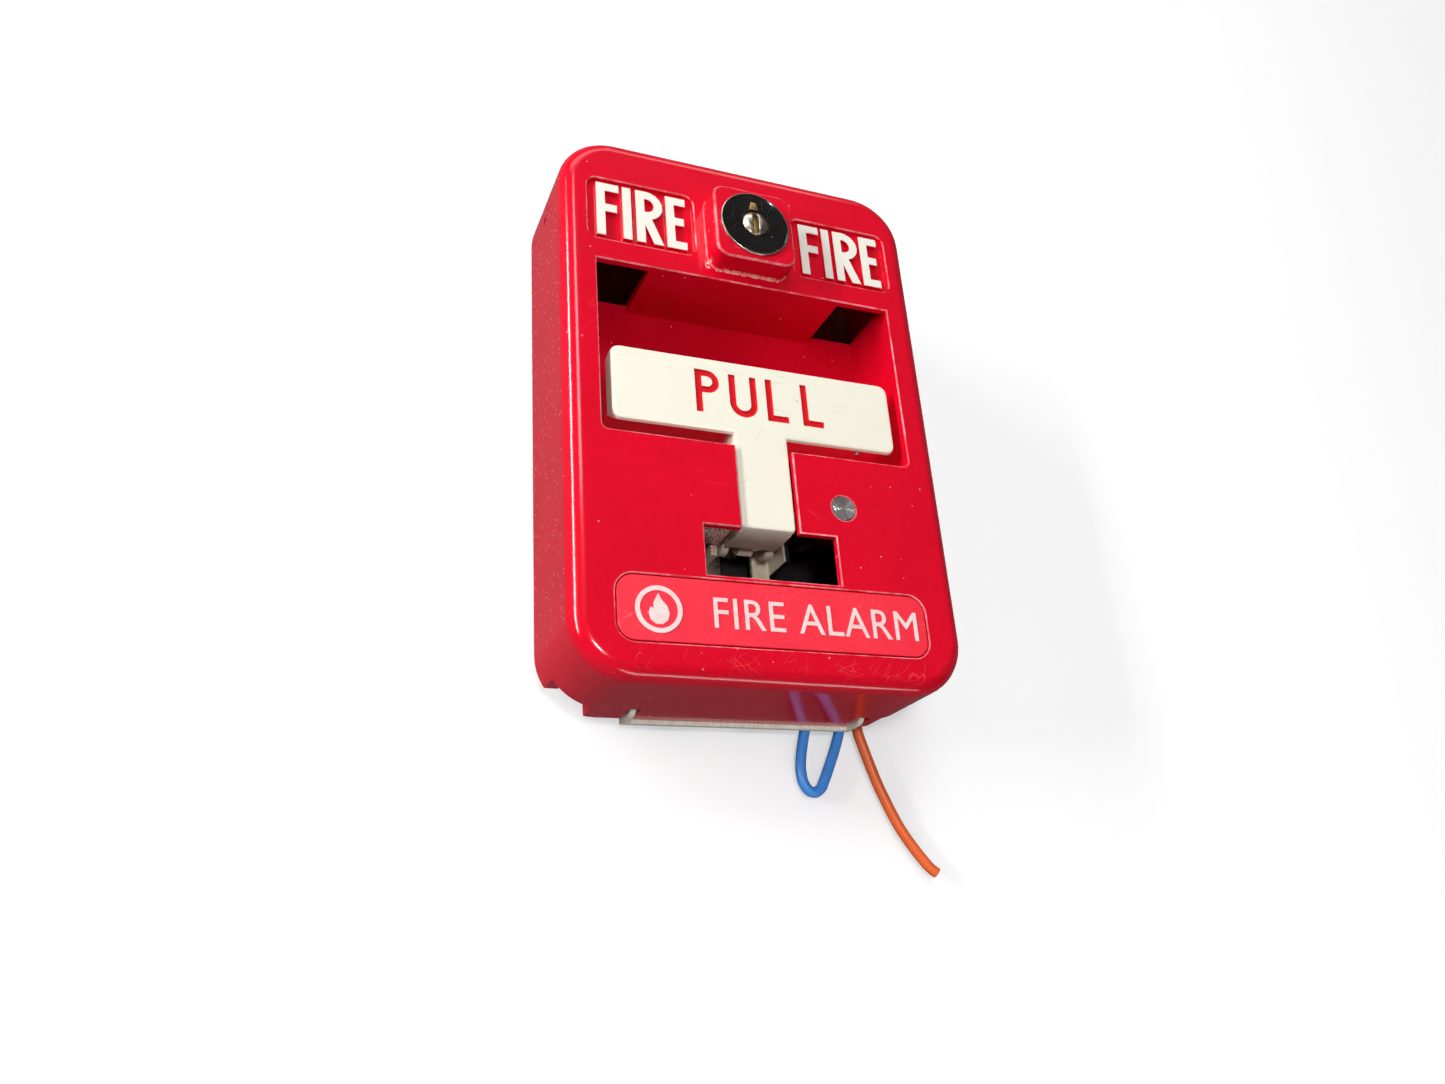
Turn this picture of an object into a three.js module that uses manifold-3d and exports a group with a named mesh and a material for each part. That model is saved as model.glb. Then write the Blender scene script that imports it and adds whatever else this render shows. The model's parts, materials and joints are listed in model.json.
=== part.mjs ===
// Fire alarm pull station: die-cast cover with a T-bar handle, a key lock and a status light,
// hinged at its foot on a pressed steel mounting pan that carries the switch, the electronics
// module and the field wiring.
//
// Frame: millimetres, +Z up, +X to the right of a person facing the station, front towards -Y.
// The origin is the centre of the pan's back face, which lies flat on the wall at y = 0.

import * as THREE from "three";
import { mergeVertices } from "three/addons/utils/BufferGeometryUtils.js";
import Module from "manifold-3d";

const wasm = await Module();
wasm.setup();

// ---------------------------------------------------------------------------------------------
// Driving dimensions
// ---------------------------------------------------------------------------------------------

// Overall
const COVER_W = 82.6;
const COVER_H = 121.9;
const COVER_DEPTH = 26.4; // front plane to the rear edge of the cover's walls
const STATION_DEPTH = 31.7; // front plane to the wall

// Clearances
const SEAT = 0.15; // between a piece and the face that it is fastened to
const FIT = 0.3; // between a piece and the opening that it sits or turns in

// Cover shell
const COVER_CORNER_R = 12;
const COVER_EDGE_R = 3.5;
const COVER_WALL = 2.2;
const FRONT_WALL = 1.6;
const CORNER_NOTCH_DEPTH = 6.2; // cut into the rear edge at both lower corners
const CORNER_NOTCH_W = 9.6;
const CORNER_NOTCH_H = 5.5;
const PRY_HOLE_R = 0.9; // in the left wall
const PRY_HOLE_DEPTH = 14;
const PRY_HOLE_TOP = 14.2;

// Finger recess
const RECESS_SIDE = 7.14; // margin from the cover's side
const RECESS_TOP = 32.06; // margin from the cover's top
const RECESS_H = 39.84;
const RECESS_DEPTH = 17.4;
const RECESS_WALL = 1.8;
const CEILING_HALF = 22.3; // the recess ceiling is open outside this half width

// Handle slot and window
const SLOT_HALF = 6.33;
const WINDOW_HALF = 14.38;
const WINDOW_H = 10.5;
const WINDOW_BOTTOM = 21.23; // margin from the cover's foot

// Label plate
const LABEL_SIDE = 8.52;
const LABEL_BOTTOM = 7.01;
const LABEL_H = 13.25;
const LABEL_R = 3.75;
const LABEL_SINK = 0.7;
const LABEL_T = 0.5;

// Cast words
const PANEL_SIDE = 5.5;
const PANEL_INNER = 11.8;
const PANEL_TOP = 11.35;
const PANEL_H = 15.6;
const PANEL_R = 2.2;
const PANEL_SINK = 1.0;
const WORD_H = 13.4;
const WORD_RISE = 1.0; // margin from the panel's lower edge
const WORD_STROKE = 1.9;
const WORD_W = 20.1;

// Lock
const LOCK_TOP = 20.25; // lock axis below the cover's top
const BOSS_HALF = 9.3;
const BOSS_R = 2.8;
const BOSS_H = 5.6;
const LOCK_FACE_R = 8.05;
const LOCK_FACE_T = 0.5;
const LOCK_BODY_R = 6;
const LOCK_BODY_END = 21.5; // depth of the body's rear end
const LOCK_NUT_R = 8.6;
const LOCK_NUT_T = 2.5;
const PLUG_R = 3;
const PLUG_DOME = 0.5;
const KEYWAY_W = 1.3;
const KEYWAY_H = 5.2;
const KEYWAY_DEPTH = 9;
const CAM_T = 1.5;
const CAM_LENGTH = 16;
const CAM_HALF = 4;
const CAM_FRONT = 24.4;

// Status light
const LENS_X = 16.85;
const LENS_RISE = 6.6; // above the window's top edge
const LENS_R = 2.6;
const LENS_FLANGE_R = 3.8;
const LENS_LENGTH = 3.7;
const LED_R = 1.5;
const LED_LENGTH = 5;

// Handle
const BAR_GAP = 2.4; // between the bar's end and the recess's side
const BAR_BOTTOM = 3.15; // above the recess's lower edge
const BAR_H = 16.9;
const BAR_FRONT = 0.8;
const BAR_T = 4.4;
const BAR_SLOPE = 2.9; // how far the bar's top and underside close in towards its back
const BAR_LAND = 0.9; // straight part of the bar's edge before the slopes start
const BAR_R = 2;
const BAR_BACK_EDGE = 1;
const NECK_RISE = 8; // the deep part of the stem runs out this far above the recess's lower edge
const STEM_HALF = 6;
const STEM_T = 9.7;
const STEM_SPACE = 1.5; // depth of the slot behind the stem
const STEM_END = 0.4; // above the window's top edge
const ENGRAVING = 0.4;
const PULL_H = 10;
const PULL_RISE = 3.9; // above the bar's lower edge
const PULL_STROKE = 1.55;
const PIVOT_DEPTH = 14;
const PIVOT_RISE = 3.2; // above the window's top edge
const PIVOT_PIN_R = 1.5;
const HANDLE_LUG_R = 3.4;
const HANDLE_LUG_IN = 4.2;
const HANDLE_LUG_OUT = 5.8;
const TAIL_HALF = 1.6;
const TAIL_RISE = 2;
const TAIL_R = 1;

// Handle bracket, on the back of the cover's front wall
const BRACKET_T = 1.2;
const BRACKET_GAP = 1; // behind the handle's lugs
const BRACKET_HALF = 14;
const BRACKET_BAR_H = 5.4;
const BRACKET_LEG_IN = 3.7;
const BRACKET_LEG_OUT = 7.6;
const BRACKET_DROP = 5.4; // below the window's lower edge
const BRACKET_EAR_RISE = 5;
const BRACKET_EAR_DROP = 5;
const BRACKET_EAR_FRONT = 10.5;
const SHELF_REACH = 8;
const POST_X = 11;
const POST_R = 2.8;

// Mounting pan
const PAN_T = 1.5;
const PAN_FLANGE_T = 1.2;
const PAN_LAP = 2; // the flange reaches this far into the cover
const PAN_FOOT = 8.9; // margin from the cover's foot to the pan's lower edge
const GANG_SPACING = 83.34;
const GANG_HOLE_R = 2.4;
const GANG_SLOT = 3;
const CABLE_HALF = 17;
const CABLE_RISE = 3.15; // above the switch's top
const CABLE_TOP = 6.7; // below the lock axis
const CABLE_R = 4;
const LIP_LEFT = -23.7;
const LIP_RIGHT = 28;
const LIP_T = 1.2;
const LIP_GAP = 0.7; // behind the cover's rear edge
const LIP_H = 3.7;
const LIP_DROP = 0.8; // below the cover's foot
const LEG_SPANS = [[-22, -12], [2, 13]];

// Cover hinge, at the foot
const HINGE_INSET = 3.4; // in front of the cover's rear edge
const HINGE_RISE = 1.9; // above the cover's foot
const HINGE_PIN_R = 1.25;
const HINGE_EAR_R = 2.7;
const HINGE_SLOT_W = 2.6;
const HINGE_LUG_W = 3;
const HINGE_LUG_HALF = 2.6;

// Strike plate for the lock cam
const STRIKE_T = 1.5;
const STRIKE_NEAR = 10.5; // from the lock axis to the lip's near edge
const STRIKE_H = 10;
const STRIKE_FOOT = 10;

// Switch
const LEVER_GAP = 1.7; // behind whatever of the cover reaches deepest there
const SWITCH_RISE = 6.5; // above the recess's lower wall
const SWITCH_W = 6.4;
const SWITCH_T = 6.2;
const SWITCH_H = 20;
const LEVER_T = 0.6;
const LEVER_HALF = 1.6;
const LEVER_BARREL_R = 1.1;
const SWITCH_BRACKET_T = 1.2;
const SWITCH_FOOT = 11.5;
const TAB_W = 3;
const TAB_T = 0.6;
const TAB_H = 3;

// Electronics module and terminal block
const MODULE_LEFT = -14;
const MODULE_RIGHT = 36;
const MODULE_STEP_X = 10;
const MODULE_SETBACK = 0.4; // behind the switch's face
const MODULE_TOP = 2; // above the status light
const MODULE_GAP = 1.6; // below the switch
const MODULE_BOTTOM = 1.2; // above the window's lower edge
const MODULE_FLOOR = 3; // left under its screw heads
const BLOCK_LEFT = 12.85;
const BLOCK_RIGHT = 34.85;
const BLOCK_RISE = 10.95; // above the cover's foot
const BLOCK_H = 10.2;
const BLOCK_FRONT = 17;
const BLOCK_STEP = 21.5;
const TERMINAL_PITCH = 5.5;
const TERMINAL_COUNT = 4;
const TERMINAL_PORT_R = 1.6;
const TERMINAL_PORT_DEPTH = 26;

// Fasteners: head radius, head height, shank radius
const SMALL_SCREW = { head: 2.3, rise: 1.5, shank: 1.3 };
const TINY_SCREW = { head: 1.7, rise: 1.1, shank: 0.9 };
const TERMINAL_SCREW = { head: 2.1, rise: 1.2, shank: 1.3 };

// Field wires: routes chosen by hand
const WIRE_R = 1.15;
const BLUE_ROUTE = [
  [21.1, -5.7, -50.3],
  [21.05, -5.4, -52],
  [20.7, -3.8, -54],
  [20.0, -2.1, -56.2],
  [19.1, -1.95, -58.8],
  [18.2, -1.95, -61.3],
  [17.3, -1.95, -64.5],
  [16.6, -1.95, -67.7],
  [16.4, -1.95, -70.5],
  [16.95, -1.95, -72.95],
  [18.5, -1.95, -74.4],
  [20.4, -1.95, -73.85],
  [21.75, -1.95, -71.75],
  [23.0, -1.95, -69.3],
  [24.2, -1.95, -66.8],
  [25.4, -1.95, -64.1],
  [26.4, -1.95, -61.3],
  [26.75, -1.95, -58.8],
  [26.75, -2.1, -56.2],
  [26.65, -3.8, -54],
  [26.6, -5.4, -52],
  [26.6, -5.7, -50.3],
];
const ORANGE_ROUTE = [
  [32.1, -5.7, -50.3],
  [32.05, -5.4, -52],
  [31.75, -3.8, -54],
  [31.3, -2.1, -56.2],
  [31.0, -1.95, -58.8],
  [31.05, -1.95, -61.3],
  [31.75, -1.95, -64],
  [32.6, -1.95, -66.9],
  [33.5, -1.95, -69.8],
  [34.5, -1.95, -72.8],
  [35.8, -1.95, -76],
  [37.25, -1.95, -79.3],
  [38.85, -2.0, -82.4],
  [40.75, -2.1, -85.4],
  [42.8, -2.2, -88.2],
  [44.8, -2.4, -90.6],
  [45.9, -2.5, -91.4],
];

// ---------------------------------------------------------------------------------------------
// Places worked out from the dimensions
// ---------------------------------------------------------------------------------------------

const HALF_W = COVER_W / 2;
const TOP_Z = COVER_H / 2;
const FOOT_Z = -COVER_H / 2;
const recessHalf = HALF_W - RECESS_SIDE;
const recessTop = TOP_Z - RECESS_TOP;
const recessBottom = recessTop - RECESS_H;
const windowBottom = FOOT_Z + WINDOW_BOTTOM;
const windowTop = windowBottom + WINDOW_H;
const labelHalf = HALF_W - LABEL_SIDE;
const labelBottom = FOOT_Z + LABEL_BOTTOM;
const labelTop = labelBottom + LABEL_H;
const panelTop = TOP_Z - PANEL_TOP;
const panelBottom = panelTop - PANEL_H;
const panelOuter = HALF_W - PANEL_SIDE;
const lockZ = TOP_Z - LOCK_TOP;
const lensZ = windowTop + LENS_RISE;
const pivotZ = windowTop + PIVOT_RISE;
const postZ = recessBottom - RECESS_WALL - POST_R;
const bracketFront = PIVOT_DEPTH + HANDLE_LUG_R + BRACKET_GAP;
const bracketBack = bracketFront + BRACKET_T;
const bracketTop = recessBottom - RECESS_WALL - 2 * FIT;
const bracketBar = bracketTop - BRACKET_BAR_H;
const panFoot = FOOT_Z + PAN_FOOT;
const hingeZ = FOOT_Z + HINGE_RISE;
const lipBottom = FOOT_Z - LIP_DROP;
const panFront = STATION_DEPTH - PAN_T;
const flangeFront = COVER_DEPTH - PAN_LAP;
const lipFront = COVER_DEPTH + LIP_GAP;
const hingeDepth = COVER_DEPTH - HINGE_INSET;
const leverFront = Math.max(bracketBack, RECESS_DEPTH + RECESS_WALL) + LEVER_GAP;
const tailDepth = leverFront - FIT - TAIL_R; // centre of the handle's round tail tip
const switchFront = leverFront + LEVER_T + FIT;
const switchTop = recessBottom + RECESS_WALL + SWITCH_RISE;
const switchBottom = switchTop - SWITCH_H;
const moduleFront = switchFront + MODULE_SETBACK;
const blockBottom = FOOT_Z + BLOCK_RISE;
const blockTop = blockBottom + BLOCK_H;
const bracketFaceX = -SWITCH_W / 2 - FIT;
const HINGE_EARS = [LIP_LEFT + LIP_T / 2, LIP_RIGHT - LIP_T / 2];

// y of a point a given depth behind the cover's front plane
const at = (depth) => depth - STATION_DEPTH;

// ---------------------------------------------------------------------------------------------
// Shape helpers
// ---------------------------------------------------------------------------------------------

// A closed geometry as a solid that can be cut and joined.
function solid(geometry) {
  const bare = geometry.clone();
  bare.deleteAttribute("normal");
  bare.deleteAttribute("uv");
  const merged = mergeVertices(bare, 1e-4);
  return new wasm.Manifold(new wasm.Mesh({
    numProp: 3,
    vertProperties: merged.attributes.position.array,
    triVerts: new Uint32Array(merged.index.array),
  }));
}

// A solid back as a geometry.
function geometryOf(body) {
  const mesh = body.getMesh();
  const geometry = new THREE.BufferGeometry();
  geometry.setAttribute("position", new THREE.BufferAttribute(mesh.vertProperties, 3));
  geometry.setIndex(new THREE.BufferAttribute(mesh.triVerts, 1));
  return geometry;
}

const join = (...bodies) => bodies.reduce((all, one) => all.add(one));
const cut = (body, ...tools) => tools.reduce((left, tool) => left.subtract(tool), body);

// Box between two x, two depths behind the front plane and two z.
function block(x0, x1, d0, d1, z0, z1) {
  const box = new THREE.BoxGeometry(x1 - x0, d1 - d0, z1 - z0);
  box.translate((x0 + x1) / 2, at((d0 + d1) / 2), (z0 + z1) / 2);
  return solid(box);
}

// Round bar along the depth, between two depths.
function rod(radius, x, z, d0, d1, sides = 24) {
  const bar = new THREE.CylinderGeometry(radius, radius, d1 - d0, sides);
  bar.translate(x, at((d0 + d1) / 2), z);
  return solid(bar);
}

// Round bar along X, between two x.
function crossRod(radius, depth, z, x0, x1, sides = 20) {
  const bar = new THREE.CylinderGeometry(radius, radius, x1 - x0, sides);
  bar.rotateZ(Math.PI / 2);
  bar.translate((x0 + x1) / 2, at(depth), z);
  return solid(bar);
}

// A shape drawn in x and z, given thickness between two depths.
function slab(shape, d0, d1, curveSegments = 6) {
  const flat = new THREE.ExtrudeGeometry(shape, { depth: d1 - d0, bevelEnabled: false, curveSegments });
  flat.rotateX(Math.PI / 2);
  flat.translate(0, at(d1), 0);
  return solid(flat);
}

// A shape drawn in depth and z, given width between two x.
function profile(shape, x0, x1, curveSegments = 8) {
  const flat = new THREE.ExtrudeGeometry(shape, { depth: x1 - x0, bevelEnabled: false, curveSegments });
  const X = new THREE.Vector3(1, 0, 0);
  const Y = new THREE.Vector3(0, 1, 0);
  const Z = new THREE.Vector3(0, 0, 1);
  flat.applyMatrix4(new THREE.Matrix4().makeBasis(Y, Z, X));
  flat.translate(x0, -STATION_DEPTH, 0);
  return solid(flat);
}

// Rounded rectangle from x0 to x1 and z0 to z1.
function roundedRect(x0, x1, z0, z1, r) {
  const shape = new THREE.Shape();
  shape.moveTo(x0 + r, z0);
  shape.lineTo(x1 - r, z0);
  shape.absarc(x1 - r, z0 + r, r, -Math.PI / 2, 0);
  shape.absarc(x1 - r, z1 - r, r, 0, Math.PI / 2);
  shape.absarc(x0 + r, z1 - r, r, Math.PI / 2, Math.PI);
  shape.absarc(x0 + r, z0 + r, r, Math.PI, 1.5 * Math.PI);
  return shape;
}

const polygon = (points) => new THREE.Shape(points.map(([a, b]) => new THREE.Vector2(a, b)));

// Rounded block whose front edge is rounded too, and whose back edge may be bevelled. Its sections
// are rings of points at set depths.
function softBlock(x0, x1, z0, z1, r, edge, d0, d1, steps = 4, sides = 7, backEdge = 0) {
  const ring = (inset, depth) => {
    const points = [];
    const corners = [[x1 - r, z0 + r, -0.5], [x1 - r, z1 - r, 0], [x0 + r, z1 - r, 0.5], [x0 + r, z0 + r, 1]];
    for (const [cx, cz, start] of corners) {
      for (let i = 0; i <= sides; i++) {
        const angle = Math.PI * (start + i / sides / 2);
        const reach = r - inset;
        points.push(new THREE.Vector3(cx + reach * Math.cos(angle), at(depth), cz + reach * Math.sin(angle)));
      }
    }
    return points;
  };
  const rings = [];
  for (let i = 0; i <= steps; i++) {
    const angle = (Math.PI / 2) * (i / steps);
    rings.push(ring(edge * (1 - Math.sin(angle)), d0 + edge * (1 - Math.cos(angle))));
  }
  rings.push(ring(0, d1 - backEdge));
  if (backEdge > 0) rings.push(ring(backEdge, d1));
  return solid(loft(rings));
}

// Closed skin through rings of equal count, first ring to the front.
function loft(rings) {
  const corners = [];
  const count = rings[0].length;
  for (let k = 0; k + 1 < rings.length; k++) {
    for (let i = 0; i < count; i++) {
      const [a, b] = [rings[k][i], rings[k][(i + 1) % count]];
      const [d, c] = [rings[k + 1][i], rings[k + 1][(i + 1) % count]];
      corners.push(a, d, b, b, d, c);
    }
  }
  const [front, back] = [rings[0], rings[rings.length - 1]];
  for (let i = 1; i + 1 < count; i++) {
    corners.push(front[0], front[i], front[i + 1]);
    corners.push(back[0], back[i + 1], back[i]);
  }
  const geometry = new THREE.BufferGeometry().setFromPoints(corners);
  return geometry;
}

// Turned solid about the depth axis through (x, z): pairs of radius and depth, from front to back.
function turned(pairs, x, z, sides = 24) {
  const line = pairs.map(([radius, depth]) => new THREE.Vector2(radius, depth));
  const body = new THREE.LatheGeometry(line, sides);
  body.translate(x, -STATION_DEPTH, z);
  return solid(body);
}

// Letter strokes, drawn from the letter's lower left corner.
function bar(x, z, w, h) {
  return polygon([[x, z], [x + w, z], [x + w, z + h], [x, z + h]]);
}

function halfRing(cx, cz, outer, stroke, from, to) {
  const shape = new THREE.Shape();
  shape.absarc(cx, cz, outer, from, to, false);
  shape.absarc(cx, cz, outer - stroke, to, from, true);
  shape.closePath();
  return shape;
}

// The strokes of one capital letter of height h and stroke s, moved to x, z.
function letter(name, x, z, h, s, w) {
  const upright = bar(x, z, s, h);
  const middle = z + h * 0.46;
  if (name === "I") return [upright];
  if (name === "L") return [upright, bar(x, z, w, s)];
  if (name === "F" || name === "E") {
    const arms = [upright, bar(x, z + h - s, w, s), bar(x, middle, w * 0.9, s)];
    return name === "E" ? [...arms, bar(x, z, w, s)] : arms;
  }
  if (name === "U") {
    const r = w / 2;
    const arc = halfRing(x + r, z + r, r, s, Math.PI, 2 * Math.PI);
    return [bar(x, z + r - s / 10, s, h - r), bar(x + w - s, z + r - s / 10, s, h - r), arc];
  }
  const bowl = (z + h - middle) / 2;
  const straight = w - bowl;
  const strokes = [
    upright,
    bar(x, z + h - s, straight + s / 10, s),
    bar(x, middle, straight + s / 10, s),
    halfRing(x + straight, middle + bowl, bowl, s, -Math.PI / 2, Math.PI / 2),
  ];
  if (name === "R") {
    const foot = x + w - s * 1.12;
    strokes.push(polygon([
      [x + straight - s * 0.75, middle + s * 0.5],
      [foot, z],
      [x + w, z],
      [x + straight + s * 0.4, middle + s * 0.5],
    ]));
  }
  return strokes;
}

// A word of letters with their left edges and widths, as one solid between two depths.
function word(letters, x, z, h, s, d0, d1) {
  const strokes = letters.flatMap(([name, left, w]) => letter(name, x + left, z, h, s, w));
  return join(...strokes.map((shape) => slab(shape, d0, d1, 5)));
}

const FIRE = [["F", 0, 5], ["I", 5.8, WORD_STROKE], ["R", 8.8, 6], ["E", 15.6, 4.5]];
const PULL = [["P", -13.9, 5.4], ["U", -6.4, 6.3], ["L", 1.95, 4.95], ["L", 10.1, 4.95]];

// ---------------------------------------------------------------------------------------------
// Materials
// ---------------------------------------------------------------------------------------------

function finish(color, roughness, metalness) {
  return new THREE.MeshStandardMaterial({ color, roughness, metalness });
}

const redPaint = finish(0xc80f22, 0.2, 0);
const ivoryPaint = finish(0xf3efd8, 0.45, 0);
const labelRed = finish(0xe0303c, 0.35, 0);
const clearPlastic = finish(0xb9b5b5, 0.15, 0);
const blackPlastic = finish(0x18181a, 0.45, 0);
const zincSteel = finish(0xc9c2ad, 0.4, 0.9);
const chrome = finish(0xd8d8d8, 0.12, 1);
const lockBlack = finish(0x0c0c0d, 0.1, 0.3);
const brass = finish(0xb49a62, 0.35, 1);
const screwSteel = finish(0xb8b8b4, 0.35, 1);
const greenPaint = finish(0x1d7a3c, 0.4, 0.5);
const blueWire = finish(0x2f86e0, 0.4, 0);
const orangeWire = finish(0xff5a1e, 0.4, 0);
const blackWire = finish(0x151515, 0.45, 0);
const redWire = finish(0xb01818, 0.45, 0);
const whitePlastic = finish(0xe8e8e2, 0.4, 0);

// ---------------------------------------------------------------------------------------------
// Assembly helpers
// ---------------------------------------------------------------------------------------------

const station = new THREE.Group();
const mounted = new THREE.Group();
const coverGroup = new THREE.Group();
const lockGroup = new THREE.Group();
const handleGroup = new THREE.Group();
const leverGroup = new THREE.Group();
coverGroup.add(lockGroup, handleGroup);
station.add(mounted, coverGroup, leverGroup);

function place(group, name, body, material) {
  const mesh = new THREE.Mesh(geometryOf(body), material);
  mesh.name = name;
  group.add(mesh);
  return mesh;
}

const SCREW_SIDES = 18;

// Slotted pan-head screw whose head rests on the plane through its origin and whose shank runs
// along its own +Y.
function screw(size, length, slotted = true) {
  const { head, rise, shank } = size;
  const line = [
    [0, -rise],
    [head * 0.72, -rise],
    [head, -rise * 0.45],
    [head, 0],
    [shank, 0],
    [shank, length],
    [0, length],
  ];
  const points = line.map(([radius, along]) => new THREE.Vector2(radius, along));
  const body = solid(new THREE.LatheGeometry(points, SCREW_SIDES));
  if (!slotted) return body;
  const slot = new THREE.BoxGeometry(head * 3, rise * 1.1, head * 0.28);
  slot.translate(0, -rise, 0);
  return cut(body, solid(slot));
}

// Puts a screw at x, depth and z. facing is the way its head points: front, back, right or left.
const TURNS = {
  front: [0, 0, 0],
  back: [0, 0, Math.PI],
  right: [0, 0, Math.PI / 2],
  left: [0, 0, -Math.PI / 2],
};

function placeScrew(group, name, size, length, x, depth, z, facing, material = screwSteel) {
  const mesh = place(group, name, screw(size, length), material);
  mesh.position.set(x, at(depth), z);
  mesh.rotation.set(...TURNS[facing]);
  return mesh;
}

// Hole for a screw's shank along the depth, or along X.
const shankHole = (size, x, z, d0, d1) => rod(size.shank + FIT / 2, x, z, d0, d1, 16);
const crossHole = (size, depth, z, x0, x1) => crossRod(size.shank + FIT / 2, depth, z, x0, x1, 16);

// ---------------------------------------------------------------------------------------------
// Cover and what is fastened to it
// ---------------------------------------------------------------------------------------------

const BEYOND = 2; // how far a cutting tool runs past the face that it cuts
const COVER_EDGE_STEPS = 6; // facets of the rounding round the cover's front
const COVER_CORNER_STEPS = 12; // facets of a corner of the cover

function coverShell() {
  const outer = softBlock(-HALF_W, HALF_W, FOOT_Z, TOP_Z, COVER_CORNER_R, COVER_EDGE_R, 0, COVER_DEPTH,
    COVER_EDGE_STEPS, COVER_CORNER_STEPS);
  const innerR = COVER_CORNER_R - COVER_WALL;
  const inner = slab(
    roundedRect(-HALF_W + COVER_WALL, HALF_W - COVER_WALL, FOOT_Z + COVER_WALL, TOP_Z - COVER_WALL, innerR),
    FRONT_WALL, COVER_DEPTH + BEYOND, COVER_CORNER_STEPS);
  return cut(outer, inner);
}

function recessTray() {
  const side = recessHalf + RECESS_WALL;
  const tray = block(-side, side, FRONT_WALL / 2, RECESS_DEPTH + RECESS_WALL,
    recessBottom - RECESS_WALL, recessTop + RECESS_WALL);
  return tray;
}

function recessSpace() {
  const space = slab(roundedRect(-recessHalf, recessHalf, recessBottom, recessTop + BEYOND, 1.4),
    -BEYOND, RECESS_DEPTH, 3);
  return cut(space, block(-HALF_W, HALF_W, -BEYOND * 2, COVER_DEPTH, recessTop, recessTop + BEYOND * 2));
}

function ceilingOpenings() {
  const high = recessTop + RECESS_WALL + BEYOND;
  const openings = [-1, 1].map((side) => {
    const [x0, x1] = side < 0 ? [-recessHalf, -CEILING_HALF] : [CEILING_HALF, recessHalf];
    return block(x0, x1, FRONT_WALL, RECESS_DEPTH, recessTop - BEYOND, high);
  });
  return join(...openings);
}

function hingeLugs() {
  const lugs = HINGE_EARS.flatMap((x) => [-1, 1].map((side) => {
    const near = x + side * HINGE_SLOT_W / 2;
    const far = near + side * HINGE_LUG_W;
    return block(Math.min(near, far), Math.max(near, far), hingeDepth - HINGE_LUG_HALF,
      hingeDepth + HINGE_LUG_HALF, FOOT_Z + COVER_WALL / 2, hingeZ + HINGE_LUG_HALF);
  }));
  return join(...lugs);
}

function hingeCuts() {
  const slotFront = hingeDepth - HINGE_EAR_R - 0.7;
  const tools = HINGE_EARS.flatMap((x) => [
    block(x - HINGE_SLOT_W / 2, x + HINGE_SLOT_W / 2, slotFront, COVER_DEPTH + BEYOND,
      FOOT_Z - BEYOND, hingeZ + 2 * HINGE_LUG_HALF),
    crossRod(HINGE_PIN_R + FIT / 2, hingeDepth, hingeZ, x - 2 * HINGE_LUG_W, x + 2 * HINGE_LUG_W, 16),
  ]);
  return join(...tools);
}

function cornerNotches() {
  const front = COVER_DEPTH - CORNER_NOTCH_DEPTH;
  const notches = [[-HALF_W - BEYOND, -HALF_W + CORNER_NOTCH_W], [HALF_W - CORNER_NOTCH_W, HALF_W + BEYOND]];
  return join(...notches.map(([x0, x1]) =>
    block(x0, x1, front, COVER_DEPTH + BEYOND, FOOT_Z - BEYOND, FOOT_Z + CORNER_NOTCH_H)));
}

const panelSpans = [[-panelOuter, -PANEL_INNER], [PANEL_INNER, panelOuter]];

function castWords() {
  const words = panelSpans.map(([x0, x1]) => {
    const left = (x0 + x1 - WORD_W) / 2;
    return word(FIRE, left, panelBottom + WORD_RISE, WORD_H, WORD_STROKE, 0, PANEL_SINK + FRONT_WALL / 2);
  });
  return join(...words);
}

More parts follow.
